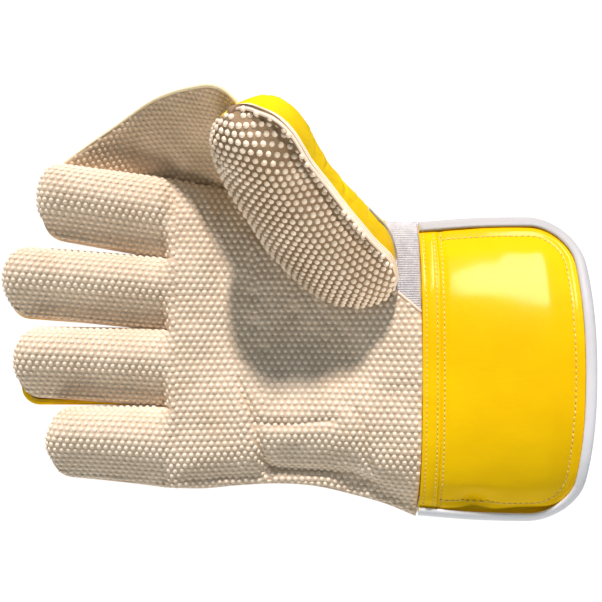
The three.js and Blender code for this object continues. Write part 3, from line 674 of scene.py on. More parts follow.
def thread(name, low, high):
    nodes = Nodes(name)
    tint = nodes.ramp(nodes.noise(900.0, 2.0), (0.3, low), (0.7, high))
    return nodes.finish(Base_Color=tint, Roughness=0.6, Normal=nodes.bump(nodes.noise(3000.0), 0.00005))


# Each leather's last colour is its painted tint towards the thumb's side: painted shade (less green) on the
# cuff's leather, painted light (greener) on the soft leather of the hand and thumb.
LEATHER = yellow_leather("yellow_leather", 0.0005, 0.55, (0.98, 0.78, 1.0))
SOFT_LEATHER = yellow_leather("soft_leather", 0.0014, 0.2, (0.96, 1.06, 1.0))
# Painted shade: the palm's rubber sheet is darker than its pimples, for the shade between them.
SHEET_RUBBER = rubber("rubber_sheet", (0.62, 0.49, 0.35), (0.76, 0.62, 0.47), 0.6)
# Painted shade: the thumb's rubber sheet is dark brown, standing for the shade on the thumb's face.
SHADE_RUBBER = rubber("rubber_painted_shade", (0.24, 0.16, 0.09), (0.34, 0.24, 0.15), 0.7)
# Painted shade: the web's rubber sheet is darker than the palm's, for the thumb's shadow the web lies in.
WEB_RUBBER = rubber("rubber_web", (0.50, 0.37, 0.24), (0.64, 0.49, 0.34), 0.6)
WORN_PIMPLES = rubber("worn_pimples", (0.80, 0.66, 0.50), (0.94, 0.82, 0.68), 0.7)
CORD = rubber("rubber_cord", (0.84, 0.68, 0.54), (0.92, 0.78, 0.64), 0.5)
PIMPLE_RUBBER = rubber("rubber_pimples", (0.84, 0.72, 0.58), (0.93, 0.83, 0.70), 0.65)
BINDING = binding_leather()
KNIT = knit_fabric()
EDGE_LEATHER = thread("cream_edge", (0.80, 0.68, 0.42), (0.90, 0.80, 0.56))
THREAD = thread("yellow_thread", (0.70, 0.52, 0.12), (0.92, 0.78, 0.34))

# Creases of the palm: points, depth and half width
CREASES = [
    ([(18, 78), (24, 60), (30, 40), (34, 12), (40, -20), (49, -45)], 0.9, 2.0),
    ([(40, -20), (49, -45), (53, -61), (56, -70), (61, -74.5), (78, -75.5), (102, -75), (112, -80),
      (128, -87)], 2.0, 2.1),
    ([(46, -46.5), (58, -48), (70, -48), (98, -44.5)], 1.4, 2.2),
    ([(104, -36), (107, -47), (109.5, -64), (113, -76)], 1.7, 2.4),
    ([(70, 40), (84, 12), (104, -6)], 0.6, 2.6),
]
# Dents: place, radius and depth
DENTS = [
    (49, 20, 3.0, 1.7), (71, 11, 3.0, 1.7), (50, 3.5, 3.0, 1.6), (54, -10, 3.0, 1.6), (44, -14, 2.6, 1.2),
    (88, -4, 3.2, 0.9), (123, -32, 6.0, 1.2), (119, -57, 8.0, 1.0), (96, -24, 7.0, 0.7),
]
VALLEY_PLACE, VALLEY_WIDTH, VALLEY_DEPTH = 31, 7, 1.1
# A raised lip lies beside each crease: its share of the depth, and its place and width in crease widths
LIP_SHARE, LIP_PLACE, LIP_WIDTH = 0.35, 2.4, 1.4


def palm_relief(x, y):
    """Creases, dents and low lumps over the palm, in millimetres."""
    relief = 0.6 * lumps(x, y, 17, 3) + 0.3 * lumps(x, y, 7, 4)
    relief = relief - VALLEY_DEPTH * bell(x - VALLEY_PLACE, VALLEY_WIDTH)
    for points, depth, width in CREASES:
        gap, share = line_distance(x, y, points)
        ends = fade(6 * share) * fade(6 * (1 - share))
        relief -= depth * ends * bell(gap, width)
        relief += LIP_SHARE * depth * ends * bell(gap - LIP_PLACE * width, LIP_WIDTH * width)
    for place_x, place_y, radius, depth in DENTS:
        relief -= depth * bell(np.hypot(x - place_x, y - place_y), radius)
    return relief * fade((x + 2) / 8)


def soft_min(a, b, reach):
    share = np.clip(0.5 + 0.5 * (b - a) / reach, 0, 1)
    return mix(b, a, share) - reach * share * (1 - share)


def sewn_rim(gap, height, rim, rim_height, slope):
    """Height near a sewn edge: a flat rim, and a slope up to the padded part."""
    limit = rim_height * fade(gap / 1.5) + slope * np.maximum(0, gap - rim)
    return soft_min(height, limit, 0.01 + 5 * fade(gap / rim / 1.5))


FINGER_RIM = (2.6, 2.8, 0.66)
PALM_RIM, PALM_RIM_HEIGHT, PALM_RIM_SLOPE = 5.0, 2.8, 0.78
HEEL_RIM = 3.2
RIDGE_FADE = 6.5


def palm_height(x, y, ridged=True):
    """Height of the palm over its seam, with its sewn rim, creases and the fingers' ridges."""
    height, across = smooth_palm(x, y)
    ulnar, _, edge = hand_edges(x)
    if ridged:
        ridge, inward = finger_ridge(across)
        height = mix(sewn_rim(inward, ridge, *FINGER_RIM), height, fade(x / RIDGE_FADE))
    gap = y - ulnar
    rim = PALM_RIM + HEEL_RIM * fade((x - 46) / 14) * fade((118 - x) / 14)
    rimmed = sewn_rim(gap, height, rim, PALM_RIM_HEIGHT, PALM_RIM_SLOPE)
    height = mix(height, rimmed, fade(x / 20))
    return height + palm_relief(x, y) * fade((edge - y) / 6) * fade(gap / 6)


# Palm and finger fronts
FRONT_COLUMNS = 30
TIP_ROWS = 14
PALM_STATIONS = np.linspace(0, PALM_LENGTH, 99)


def finger_rows(place, body):
    length = finger_length(place)
    straight = np.linspace(0, length - TIP_DOME, body + 1)
    bent = length - TIP_DOME * (1 - quarter(TIP_ROWS))
    return np.concatenate((straight, bent[1:]))


def finger_front(place):
    rows, across = finger_rows(place, 34)[:, None], sideways(FRONT_COLUMNS)[None, :]
    grid = finger_point(place, rows, across, 1)
    seam = SEAM_HEIGHT + SEAM_GAP / 2 + FINGER_CURL * (rows / finger_length(place)) ** 2
    rise = sewn_rim(grid[..., 1] - grid[:, :1, 1], grid[..., 2] - seam, *FINGER_RIM)
    puff = 0.3 * lumps(grid[..., 0], grid[..., 1], 13, 11 + place) * fade(rows / 8) * (1 - across ** 2)
    grid[..., 2] = seam + rise + puff
    return grid


def palm_front(place, x):
    """The strip of the palm behind one finger, from the finger's crotch to the wrist."""
    x = x[:, None]
    ulnar, radial, edge = hand_edges(x)
    across = mix(sideways(FRONT_COLUMNS)[None, :], np.linspace(-1, 1, FRONT_COLUMNS + 1)[None, :],
                 fade(x / FINGER_FADE))
    base = mix(BASE_EDGES[place + 1], BASE_EDGES[place], (across + 1) / 2)
    y = mix(ulnar, edge - np.where(edge < radial, SEAM_GAP / 2, 0), (base + half) / HAND_WIDTH)
    x = np.broadcast_to(x, y.shape)
    return stack(x, y, SEAM_HEIGHT + SEAM_GAP / 2 + palm_height(x, y))


finger_grids = [finger_front(place) for place in PLACES]
palm_grids = [palm_front(place, PALM_STATIONS) for place in PLACES]


def hand_back_rows(x):
    ulnar, radial, rubber_edge = hand_edges(x)
    under = back_point(x[:, None], sideways(90)[None, :], -SEAM_GAP / 2)
    inner = np.minimum(radial, rubber_edge + SEAM_GAP / 2)[:, None]
    turn = quarter(24)[None, 1:] ** 2
    y = mix(radial[:, None], inner, turn)
    over = palm_point(np.broadcast_to(x[:, None], y.shape), y, -SEAM_GAP / 2)
    rim = np.broadcast_to(under[:, -1:], over.shape)
    over = np.where((rubber_edge < radial)[:, None, None], over, rim)
    return np.concatenate((under, over), 1)


hand_end = PALM_LENGTH - WRIST_BAND_WIDTH
palm_outer = sheet_of(finger_grids + [grid[::-1] for grid in palm_grids], (0, 0, 1))
turn_start = RUBBER_TURN * PALM_LENGTH + 0.01
back_x = np.unique(np.concatenate((np.linspace(GAP / 2, hand_end - GAP, 70), [turn_start])))
hand_back_outer = sheet_of([hand_back_rows(back_x)], (0, 0, -1))
wrist_outer = sheet_of([hand_back_rows(np.linspace(hand_end, PALM_LENGTH, 13))], (0, 0, -1))


def finger_back(place):
    rows = finger_rows(place, 36)
    rows[0] = GAP / 2
    grid = finger_point(place, rows[:, None], sideways(36)[None, :], -1, GAP / 2, 1)
    return sheet_of([grid], (0, 0, -1))


finger_back_outer = [finger_back(place) for place in PLACES]
hand_tree = tree_of(palm_outer, hand_back_outer, wrist_outer, *finger_back_outer)


def thumb_shares(body):
    tip, root = THUMB_TIP_DOME / thumb_length, THUMB_ROOT_DOME / thumb_length
    start = root * (1 - np.cos(np.linspace(0, 1, TIP_ROWS + 1) * np.pi / 2))
    middle = np.linspace(root, 1 - tip, body + 1)
    end = 1 - tip * (1 - quarter(TIP_ROWS))
    return np.concatenate((start, middle[1:], end[1:]))


def push(grid, amount, out):
    """Moves a grid of points along its normals, which look along out."""
    normals = unit(np.cross(np.gradient(grid, axis=0), np.gradient(grid, axis=1)))
    if float((normals @ np.array(out, float)).sum()) < 0:
        normals = -normals
    return grid + normals * amount[..., None]


# Creases across the thumb's leather: place along it, slant, depth and width
THUMB_CREASES = [(0.95, 0.04, 0.6, 0.006), (0.89, -0.05, 0.9, 0.007), (0.82, 0.04, 0.7, 0.006),
                 (0.76, -0.03, 0.6, 0.006), (0.69, 0.03, 0.7, 0.007), (0.64, -0.04, 0.5, 0.007),
                 (0.57, 0.04, 1.3, 0.012), (0.46, -0.04, 0.5, 0.008), (0.34, 0.03, 0.4, 0.008)]
THUMB_DISH, DISH_PLACE, DISH_REACH = 0.86, 0.82, 0.26
THUMB_RIDGE, RIDGE_WIDTH = 2.8, 0.10


def thumb_grid(side):
    share = thumb_shares(110)[:, None]
    angle = side * np.pi * np.linspace(0, 1, 49)[None, :]
    grid = thumb_point(share, angle, side)
    facing = thumb_frame(share[:, 0])[0]
    across = np.abs(np.sin(angle))
    relief = 0.35 * lumps(120 * share, 12 * angle, 11, 21) * across
    if side > 0:
        cosine = np.broadcast_to(np.cos(angle), grid.shape[:2])
        depth = ((grid - thumb_centre(share[:, 0])[:, None]) * facing[:, None]).sum(-1)
        dish = -depth * THUMB_DISH * bell(cosine - DISH_PLACE, DISH_REACH) * fade(share / 0.25)
        ridge = THUMB_RIDGE * bell(1 - cosine, RIDGE_WIDTH) * fade((share - 0.12) / 0.2)
        grid = grid + facing[:, None] * (dish + ridge * fade((1 - share) / 0.05))[..., None]
    else:
        for place, slant, deep, width in THUMB_CREASES:
            bent = share - place - slant * np.sin(2.3 * angle + 9 * place)
            relief = relief - deep * bell(bent, width) * across
            relief = relief + 0.5 * deep * bell(bent - 2.4 * width, 1.6 * width) * across
    return push(grid, relief, side * facing[len(facing) // 2])


def thumb_sheets(keep=None):
    """The rubber front and the leather back of the thumb."""
    return [sheet_of([grid], side * thumb_middle_facing, keep) for side, grid in thumb_grids.items()]


thumb_grids = {side: thumb_grid(side) for side in (1, -1)}
thumb_middle_facing = thumb_frame(np.float64(0.5))[0]
thumb_tree = tree_of(*thumb_sheets())
# How far the thumb may sink into the hand, and the web into the thumb
HAND_SINK, THUMB_SINK = 1.6, 1.2


def outside_hand(points):
    return snap(hand_tree, points)[2] > -HAND_SINK


def outside_both(points):
    return outside_hand(points) & (snap(thumb_tree, points)[2] > -THUMB_SINK)


thumb_front_outer, thumb_back_outer = thumb_sheets(outside_hand)


WEB_MIDDLE = (WEB_RUBBER_WALL + GAP + WEB_LEATHER_WALL) / 2


def web_grid(depth):
    share = np.linspace(0, 1, 81)[:, None]
    inset = (0.6 + GAP) / web_length(share)
    out = np.linspace(0, 1, 37)[None, :] * (1 - inset)
    thin = fade((out - 0.86) / 0.12)
    return web_point(share, out, mix(float(depth), mix(WEB_MIDDLE, depth, 0.35), thin))


web_up = web_normal(np.float64(0.5), np.float64(0.5))
web_front_grid = web_grid(0)
web_front_outer = sheet_of([web_front_grid], web_up, outside_both)
web_back_outer = sheet_of([web_grid(2 * WEB_MIDDLE)], -web_up, outside_both)

add_shell("palm_rubber", palm_outer, RUBBER_WALL, SHEET_RUBBER, "rubber_facing", "palm_facing")
thumb_front = add_shell("thumb_rubber", thumb_front_outer, RUBBER_WALL, SHADE_RUBBER, "rubber_facing",
                        "thumb_facing")
thumb_rear = add_shell("thumb_leather", thumb_back_outer, LEATHER_WALL, SOFT_LEATHER, "yellow_leather",
                       "thumb_back")
add_shell("web_rubber", web_front_outer, WEB_FRONT_WALL, WEB_RUBBER, "rubber_facing", "web_facing")
add_shell("web_leather", web_back_outer, WEB_BACK_WALL, LEATHER, "yellow_leather", "web_back")
hand_rear = add_shell("hand_leather", hand_back_outer, LEATHER_WALL, SOFT_LEATHER, "yellow_leather",
                      "hand_back")
add_shell("wrist_knit", wrist_outer, KNIT_WALL, KNIT, "wrist_fabric", "wrist_band")
for (name, *_), outer in zip(FINGERS, finger_back_outer):
    add_shell(f"{name}_leather", outer, LEATHER_WALL, SOFT_LEATHER, "yellow_leather", f"{name}_back")


# Cuff
def end_bulge(across):
    return CUFF_END_BULGE * (1 - np.minimum(np.abs(across) / (CUFF_WIDTH / 2), 1) ** 2)


def panel_grid(start, side):
    inset = BINDING_WALL + BINDING_SLACK
    corner = CUFF_CORNER - inset
    end = cuff_start + CUFF_LENGTH - inset - CUFF_END_BULGE
    straight = np.linspace(start, end - corner, 40)
    turned = end - corner * (1 - quarter(29))
    x = np.concatenate((straight, turned[1:]))[:, None]
    turn = np.maximum(0, (x - end + corner) / corner)
    cut = corner * (1 - np.sqrt(np.maximum(0, 1 - turn * turn)))
    width = cuff_half_width(x) - inset - cut
    across = sideways(96)[None, :] * width
    place_x = x + turn ** 2 * end_bulge(across)
    place_y = cuff_middle + across
    level = CUFF_WALL / 2 + panel_relief(place_x, place_y, side)
    return cuff_point(place_x, place_y, side, side * level)


# How far in from an outline or an edge the rows of stitches lie
STITCH_INSET, START_STITCHES, BAND_STITCHES = 10.6, 1.6, (2.4, 7.9)
BORDER_GROOVE, BORDER_WIDTH, PANEL_PUFF = 0.55, 1.1, 1.3
# Soft dents near the lower edge of the palm side: place, reach along and across, and depth
PANEL_DENTS = [(168, -89, 8, 5.5, 3.4), (196, -94, 18, 3.5, 2.4), (160, -60, 14, 9, 0.3),
               (196, 20, 16, 10, 0.3)]


def panel_inset(x, y):
    """Distance in from the outline of a cuff panel."""
    across = np.abs(y - cuff_middle)
    side = cuff_half_width(x) - across
    end = cuff_start + CUFF_LENGTH - CUFF_END_BULGE + end_bulge(across) - x
    corner = CUFF_CORNER - np.hypot(np.maximum(CUFF_CORNER - side, 0), np.maximum(CUFF_CORNER - end, 0))
    return np.where((side < CUFF_CORNER) & (end < CUFF_CORNER), corner, np.minimum(side, end))


def panel_relief(x, y, side):
    inset = panel_inset(x, y)
    puff = PANEL_PUFF * fade((inset - STITCH_INSET) / 12)
    relief = puff + 0.15 * fade((inset - 6) / 2) * fade((STITCH_INSET - inset) / 2)
    relief -= BORDER_GROOVE * bell(inset - STITCH_INSET, BORDER_WIDTH)
    relief += 0.22 * lumps(x, y, 26, 31 + side) + 0.08 * lumps(x, y, 9, 41 + side)
    if side > 0:
        relief -= 0.6 * bell(x - cuff_front_start - START_STITCHES, 1.0)
        for place_x, place_y, reach_x, reach_y, depth in PANEL_DENTS:
            relief -= depth * np.exp(-((x - place_x) / reach_x) ** 2 - ((y - place_y) / reach_y) ** 2)
    return relief


def binding_stations(start):
    end = cuff_start + CUFF_LENGTH - CUFF_END_BULGE
    rows = []
    for way in (1, -1):
        part = [(x, way * float(cuff_half_width(x)), 0, -way)
                for x in np.linspace(start, end - CUFF_CORNER, 24)]
        for angle in np.linspace(0, np.pi / 2, 24)[1:]:
            sine, cosine = math.sin(angle), math.cos(angle)
            x = end - CUFF_CORNER + CUFF_CORNER * sine
            y = way * (float(cuff_half_width(x)) - CUFF_CORNER * (1 - cosine))
            part.append((x + sine ** 2 * end_bulge(y), y, -sine, -way * cosine))
        width = float(cuff_half_width(end)) - CUFF_CORNER
        for share in np.linspace(1, 0, 24)[1:]:
            part.append((end + end_bulge(width * share), way * width * share, -1, 0))
        rows += part if way > 0 else part[::-1][1:]
    return np.array(rows, float)


def channel(loops):
    """Closed loops joined into one tube with capped ends."""
    rings, count = loops.shape[:2]
    index = np.arange(rings * count).reshape(rings, count)
    around = np.roll(index, -1, 1)
    sides = np.stack((index[:-1], around[:-1], around[1:], index[1:]), -1).reshape(-1, 4).tolist()
    points = loops.reshape(-1, 3)
    faces = sides + [index[0][::-1].tolist(), index[-1].tolist()]
    volume = sum(float(np.dot(points[face[0]], np.cross(points[face[place]], points[face[place + 1]])))
                 for face in faces for place in range(1, len(face) - 1))
    return points, faces if volume > 0 else [face[::-1] for face in faces]


def binding_profile(width, wall, thickness, slack):
    """Round-backed channel: distance in from the free edge, and level over the panel's middle."""
    lip = thickness / 2 + slack
    cover = lip + wall
    angles = np.linspace(np.pi / 2, 3 * np.pi / 2, 9)
    back = [(cover * 0.8 * (1 + math.cos(angle)), cover * math.sin(angle)) for angle in angles]
    rim = wall / 2
    outer = [(width, cover - rim), (width - rim, cover), *back, (width - rim, -cover), (width, rim - cover)]
    inner = [(width, -lip), (wall * 1.6, -lip), (wall * 1.6, lip), (width, lip)]
    return outer + inner


def rim_points(start, side, inset, level):
    """Points along a cuff panel's outline, by distance in from it and level over the panel's middle."""
    x, y, way_x, way_y = (column[:, None] for column in binding_stations(start).T)
    return cuff_point(x + way_x * inset, cuff_middle + y + way_y * inset, side, level)


def cuff_binding(start, side):
    profile = np.array(binding_profile(CUFF_BINDING_WIDTH, BINDING_WALL, CUFF_WALL, BINDING_SLACK))
    return channel(rim_points(start, side, *profile.T))


def seam_band_grid():
    x = np.linspace(cuff_start, cuff_front_start - GAP, 13)[:, None]
    y = cuff_middle + sideways(110)[None, :] * (cuff_half_width(x) - BINDING_WALL - BINDING_SLACK)
    start = x - cuff_start
    ends = fade((cuff_half_width(x) - np.abs(y - cuff_middle) - CUFF_BINDING_WIDTH) / 6)
    groove = sum(0.5 * bell(start - line, 0.8) for line in BAND_STITCHES)
    puff = 0.5 * np.sin(np.pi * np.clip(start / SEAM_BAND_WIDTH, 0, 1)) ** 0.5
    puff = puff + 0.12 * lumps(x, y, 8, 51)
    return cuff_point(x, y, 1, CUFF_WALL / 2 + (CUFF_STEP / 2 + puff - groove) * ends)


def add_panel(name, outer, node):
    return add_shell(name, outer, CUFF_WALL, LEATHER, "yellow_leather", node)


front_outer = sheet_of([panel_grid(cuff_front_start, 1)], (0, 0, 1))
rear_outer = sheet_of([panel_grid(cuff_start, -1)], (0, 0, -1))
band_outer = sheet_of([seam_band_grid()], (0, 0, 1))
cuff_front = add_panel("cuff_front_pad", front_outer, "cuff_front")
cuff_rear = add_panel("cuff_back_pad", rear_outer, "cuff_back")
add_panel("cuff_seam_strip", band_outer, "cuff_seam_band")
for name, start, side in (("front", cuff_start + 0.4, 1), ("back", cuff_start, -1)):
    add_object(f"cuff_{name}_edge", *cuff_binding(start, side), BINDING, "white_binding",
               [f"cuff_{name}_binding"])


def web_binding():
    profile = np.array(binding_profile(1.3, 0.35, 0.7 * WEB_MIDDLE, 0.05))
    share = np.linspace(0, 1, 90)[:, None]
    out = 1 - profile[:, 0] / web_length(share)
    points = web_point(share, out, WEB_MIDDLE - profile[:, 1])
    kept = np.flatnonzero(outside_both(points).reshape(points.shape[:2]).any(1))
    return channel(points[kept[0]:kept[-1] + 1])


add_object("web_edge", *web_binding(), EDGE_LEATHER, "yellow_leather", ["web_binding"])


# Cords in the seams
def circle(side, other, count):
    """Directions round an axis, for each pair of directions across it."""
    turns = 2 * np.pi * np.arange(count)[:, None] / count
    return side[:, None] * np.cos(turns) + other[:, None] * np.sin(turns)


def cord(path, radius, sides=6):
    """A closed round cord along a path."""
    ways = unit(np.gradient(path, axis=0))
    side = unit(np.cross(ways, (0.0, 0.0, 1.0)))
    return channel(path[:, None] + radius * circle(side, np.cross(ways, side), sides))


def finger_seam(grid):
    path = np.concatenate((grid[:, 0], grid[-1, 1:-1], grid[::-1, -1]))
    kept = np.concatenate(([True], np.linalg.norm(np.diff(path, axis=0), axis=1) > 0.05))
    return path[kept] - (0, 0, 0.3)


hand_seams = [finger_seam(grid) for grid in finger_grids] + [palm_grids[-1][:, 0], palm_grids[0][:, -1]]
add_object("hand_cords", *join([cord(seam, 0.75) for seam in hand_seams]), CORD, "rubber_facing")
thumb_seam = thumb_grids[1][:, 0]
thumb_seam = thumb_seam[outside_hand(thumb_seam)]
thumb_edge = join([cord(thumb_seam - thumb_middle_facing * down, 0.9) for down in (0.0, 1.3, 2.6)])
thumb_cord = add_object("thumb_cord", *thumb_edge, CORD, "rubber_facing")
# White piping where the thumb's leather meets the wrist band
PIPING = np.array([
    (108, 63, 66), (111.7, 59.5, 63.5), (113.3, 57.6, 62.5), (116.1, 55.9, 59.1), (118.3, 53.5, 57.5),
    (120.5, 50, 56.6), (122.1, 46, 55.6), (123.3, 42, 53.8), (124, 37.9, 52.2), (123.4, 34, 53),
])
piping_arcs = cumulative(PIPING)
piping_path = along_row(PIPING + (1.0, 0.9, -1.2), piping_arcs, np.linspace(0, piping_arcs[-1], 50))
add_object("thumb_piping", *cord(snap(thumb_tree, piping_path)[0], 0.9), BINDING, "white_binding")


# Pimples of the rubber
PALM_PITCH, THUMB_PITCH, WEB_PITCH = 3.6, 4.1, 3.4
LINE_SHARE = math.sqrt(3) / 2
EDGE_MARGIN = 1.1
JOIN_PLACE, JOIN_ROWS = 8.0, 13
# Each ring's radius as a share of the pitch, and its height as a share of the pimple's
DOME_PROFILE = [(0.385, -0.35), (0.355, 0.18), (0.270, 0.60), (0.145, 0.86)]
DOME_TOP = 0.94
DOME_SIDES = 8


def line_spots(points, arcs, offset, parity, pitch):
    """Places on one cross section where it meets every second line of the lattice."""
    low, high = arcs[0] + EDGE_MARGIN, arcs[-1] - EDGE_MARGIN
    gap = LINE_SHARE * pitch
    lines = np.arange(math.ceil((low + offset) / gap), math.floor((high + offset) / gap) + 1)
    lines = lines[(lines + parity) % 2 == 0]
    return along_row(points, arcs, lines * gap - offset)


def half_steps(first, last, pitch):
    return range(math.ceil(2 * first / pitch), math.floor(2 * last / pitch) + 1)


def row_at(grid, stations, wanted):
    """The grid's cross section at a place between its stations."""
    place = np.interp(wanted, stations, np.arange(len(grid)))
    row = min(int(place), len(grid) - 2)
    return mix(grid[row], grid[row + 1], place - row)


def strip_spots(grid, arcs_along, first, last, offset, pitch):
    """Spots on a strip, by distance along it and across it from its middle column."""
    spots = []
    for step in half_steps(first, last, pitch):
        section = row_at(grid, arcs_along, step * pitch / 2)
        arcs = cumulative(section)
        spots.append(line_spots(section, arcs - arcs[grid.shape[1] // 2], offset, step, pitch))
    return np.concatenate(spots)


def filled_spots(grid, first, pitch):
    """A strip's spots, and after them spots between its lines for where the strip is stretched."""
    arcs = cumulative(grid[:, grid.shape[1] // 2])
    spots = [strip_spots(grid, arcs, first, arcs[-1] - 1, shift * LINE_SHARE * pitch, pitch)
             for shift in (0.0, 0.5, 0.25, 0.75)]
    return np.concatenate(spots + [grid[3:-3:3, 3:-3:2].reshape(-1, 3)])


def palm_arcs(x):
    """Distance round the smooth palm from y = 0, at one station."""
    ulnar, _, edge = hand_edges(np.float64(x))
    y = np.linspace(ulnar, edge - SEAM_GAP / 2, 400)
    points = stack(x, y, palm_height(np.full(400, float(x)), y, False))
    arcs = cumulative(points)
    return y, arcs - np.interp(0, y, arcs)


def palm_spots():
    whole = np.concatenate([palm_grids[-1]] + [grid[:, 1:] for grid in palm_grids[-2::-1]], 1)
    spots = []
    for step in half_steps(JOIN_PLACE, PALM_LENGTH - 0.8, PALM_PITCH):
        x = step * PALM_PITCH / 2
        section = row_at(whole, PALM_STATIONS, x)
        y, arcs = palm_arcs(x)
        spots.append(line_spots(along_row(section, section[:, 1], y), arcs, 0.0, -step, PALM_PITCH))
    y, smooth = palm_arcs(0.0)
    for place in PLACES:
        start = palm_grids[place][:JOIN_ROWS][::-1]
        strip = np.concatenate((start[:-1], finger_grids[place]))
        middle = strip[:, strip.shape[1] // 2]
        arcs = cumulative(middle)
        arcs = arcs - arcs[JOIN_ROWS - 1]
        offset = float(np.interp(middle[JOIN_ROWS - 1, 1], y, smooth))
        spots.append(strip_spots(strip, arcs, -JOIN_PLACE, arcs[-1] - EDGE_MARGIN, offset, PALM_PITCH))
    return np.concatenate(spots)


def spaced(points, least):
    """The points in order, without those closer than least to one that is kept."""
    kept, cells = [], {}
    for number, point in enumerate(points.tolist()):
        key = tuple(math.floor(value / least) for value in point)
        near = (other for dx in (-1, 0, 1) for dy in (-1, 0, 1) for dz in (-1, 0, 1)
                for other in cells.get((key[0] + dx, key[1] + dy, key[2] + dz), ()))
        if all(math.dist(point, other) >= least for other in near):
            cells.setdefault(key, []).append(point)
            kept.append(number)
    return kept


def ring_faces(rings, sides):
    """The faces between rings of corners that follow one another."""
    faces = []
    for ring in range(rings - 1):
        for turn in range(sides):
            here, after = ring * sides + turn, ring * sides + (turn + 1) % sides
            faces.append([here, after, after + sides, here + sides])
    return faces


def copies(one, per, count):
    """The faces of one body of per points, repeated for each of its copies."""
    return [[corner + per * place for corner in face] for place in range(count) for face in one]


def domes(name, places, normals, seed, pitch, tall, material):
    """One closed dome on each place."""
    random = np.random.default_rng(seed)
    helper = np.where(np.abs(normals[:, :1]) < 0.8, (1.0, 0, 0), (0, 1.0, 0))
    side = unit(np.cross(normals, helper))
    around = circle(side, np.cross(normals, side), DOME_SIDES)[:, None]
    size = random.uniform(0.94, 1.06, (len(places), 1, 1, 1))
    radii, levels = (np.array(part)[:, None, None] for part in zip(*DOME_PROFILE))
    rings = places[:, None, None] + size * (pitch * radii * around + tall * levels * normals[:, None, None])
    tops = places + normals * DOME_TOP * tall * size[:, 0, 0]
    points = np.concatenate((rings.reshape(len(places), -1, 3), tops[:, None]), 1).reshape(-1, 3)
    top = len(DOME_PROFILE) * DOME_SIDES
    one = ring_faces(len(DOME_PROFILE), DOME_SIDES)
    one += [[top - DOME_SIDES + turn, top - DOME_SIDES + (turn + 1) % DOME_SIDES, top]
            for turn in range(DOME_SIDES)]
    one.append(list(range(DOME_SIDES))[::-1])
    return add_object(name, points, copies(one, top + 1, len(places)), material, "rubber_facing")


def add_pimples(name, sheet, spots, keep, seed, pitch, tall, material):
    places, normals, _ = snap(tree_of(sheet), spots)
    kept = keep(places)
    places, normals = places[kept], normals[kept]
    chosen = spaced(places, 0.74 * pitch)
    return domes(name, places[chosen], normals[chosen], seed, pitch, tall, material)


def clear_of(tree, least):
    return lambda points: snap(tree, points)[2] > least


# Each sheet's pimples: the places they keep to, seed, pitch, height and rubber
add_pimples("palm_pimples", palm_outer, palm_spots(), clear_of(thumb_tree, 0.6), 5, PALM_PITCH, 0.9,
            PIMPLE_RUBBER)
thumb_domes = add_pimples("thumb_pimples", thumb_front_outer, filled_spots(thumb_grids[1], 4, THUMB_PITCH),
                          clear_of(hand_tree, 0.4), 6, THUMB_PITCH, 1.3, WORN_PIMPLES)
# The web's pimples are of the palm's darker sheet rubber: painted shade, as on the web's sheet.
add_pimples("web_pimples", web_front_outer, filled_spots(web_front_grid, 1, WEB_PITCH),
            lambda points: clear_of(hand_tree, 0.4)(points) & clear_of(thumb_tree, 0.4)(points), 7, WEB_PITCH,
            0.8, SHEET_RUBBER)


# Stitches
def stitch_row(path, tree, pitch=3.0, length=2.3, radius=0.34):
    """Centres, directions and normals of a row of stitches along a path, laid on a surface."""
    arcs = cumulative(path)
    wanted = np.arange(pitch / 2, arcs[-1], pitch)
    centres, normals, _ = snap(tree, along_row(path, arcs, wanted))
    ways = along_row(path, arcs, wanted + 0.4) - along_row(path, arcs, wanted - 0.4)
    ways = unit(ways - normals * (ways * normals).sum(1, keepdims=True))
    return centres, ways, normals, np.full(len(centres), length), np.full(len(centres), radius)


STITCH_SIDES = 6
# Each ring's place along the stitch, its thickness and its lift
STITCH_RINGS = [(-0.5, 0.45, -0.55), (-0.36, 0.95, 0.15), (0.0, 1.0, 0.55), (0.36, 0.95, 0.15),
                (0.5, 0.45, -0.55)]


def add_stitches(name, rows, material, slot):
    centres, ways, normals, lengths, radii = (np.concatenate(part) for part in zip(*rows))
    around = circle(np.cross(ways, normals), normals, STITCH_SIDES)
    rings = []
    for along, thick, lift in STITCH_RINGS:
        middle = centres + ways * (along * lengths)[:, None] + normals * (lift * radii)[:, None]
        rings.append(middle[:, None] + around * (thick * radii)[:, None, None])
    per = len(STITCH_RINGS) * STITCH_SIDES
    one = [[a, d, c, b] for a, b, c, d in ring_faces(len(STITCH_RINGS), STITCH_SIDES)]
    one += [list(range(STITCH_SIDES)), list(range(per - STITCH_SIDES, per))[::-1]]
    points = np.stack(rings, 1).reshape(-1, 3)
    add_object(name, points, copies(one, per, len(centres)), material, slot)


def inset_path(start, side):
    return rim_points(start, side, STITCH_INSET, side * CUFF_WALL / 2)[:, 0]


def across_path(x, level, margin=7.0):
    y = cuff_middle + np.linspace(-1, 1, 120) * (float(cuff_half_width(x)) - margin)
    return cuff_point(x, y, 1, level)


front_tree, rear_tree, band_tree = tree_of(front_outer), tree_of(rear_outer), tree_of(band_outer)
band_level = (CUFF_WALL + CUFF_STEP) / 2
add_stitches("cuff_stitches", [
    stitch_row(inset_path(cuff_front_start + 1, 1), front_tree),
    stitch_row(across_path(cuff_front_start + START_STITCHES, CUFF_WALL / 2, 6.5), front_tree, 2.6, 1.9,
               0.30),
    stitch_row(across_path(cuff_start + BAND_STITCHES[0], band_level), band_tree, 2.6, 1.7, 0.28),
    stitch_row(across_path(cuff_start + BAND_STITCHES[1], band_level), band_tree, 2.6, 1.9, 0.30),
    stitch_row(inset_path(cuff_start + 1, -1), rear_tree),
], THREAD, "yellow_leather")


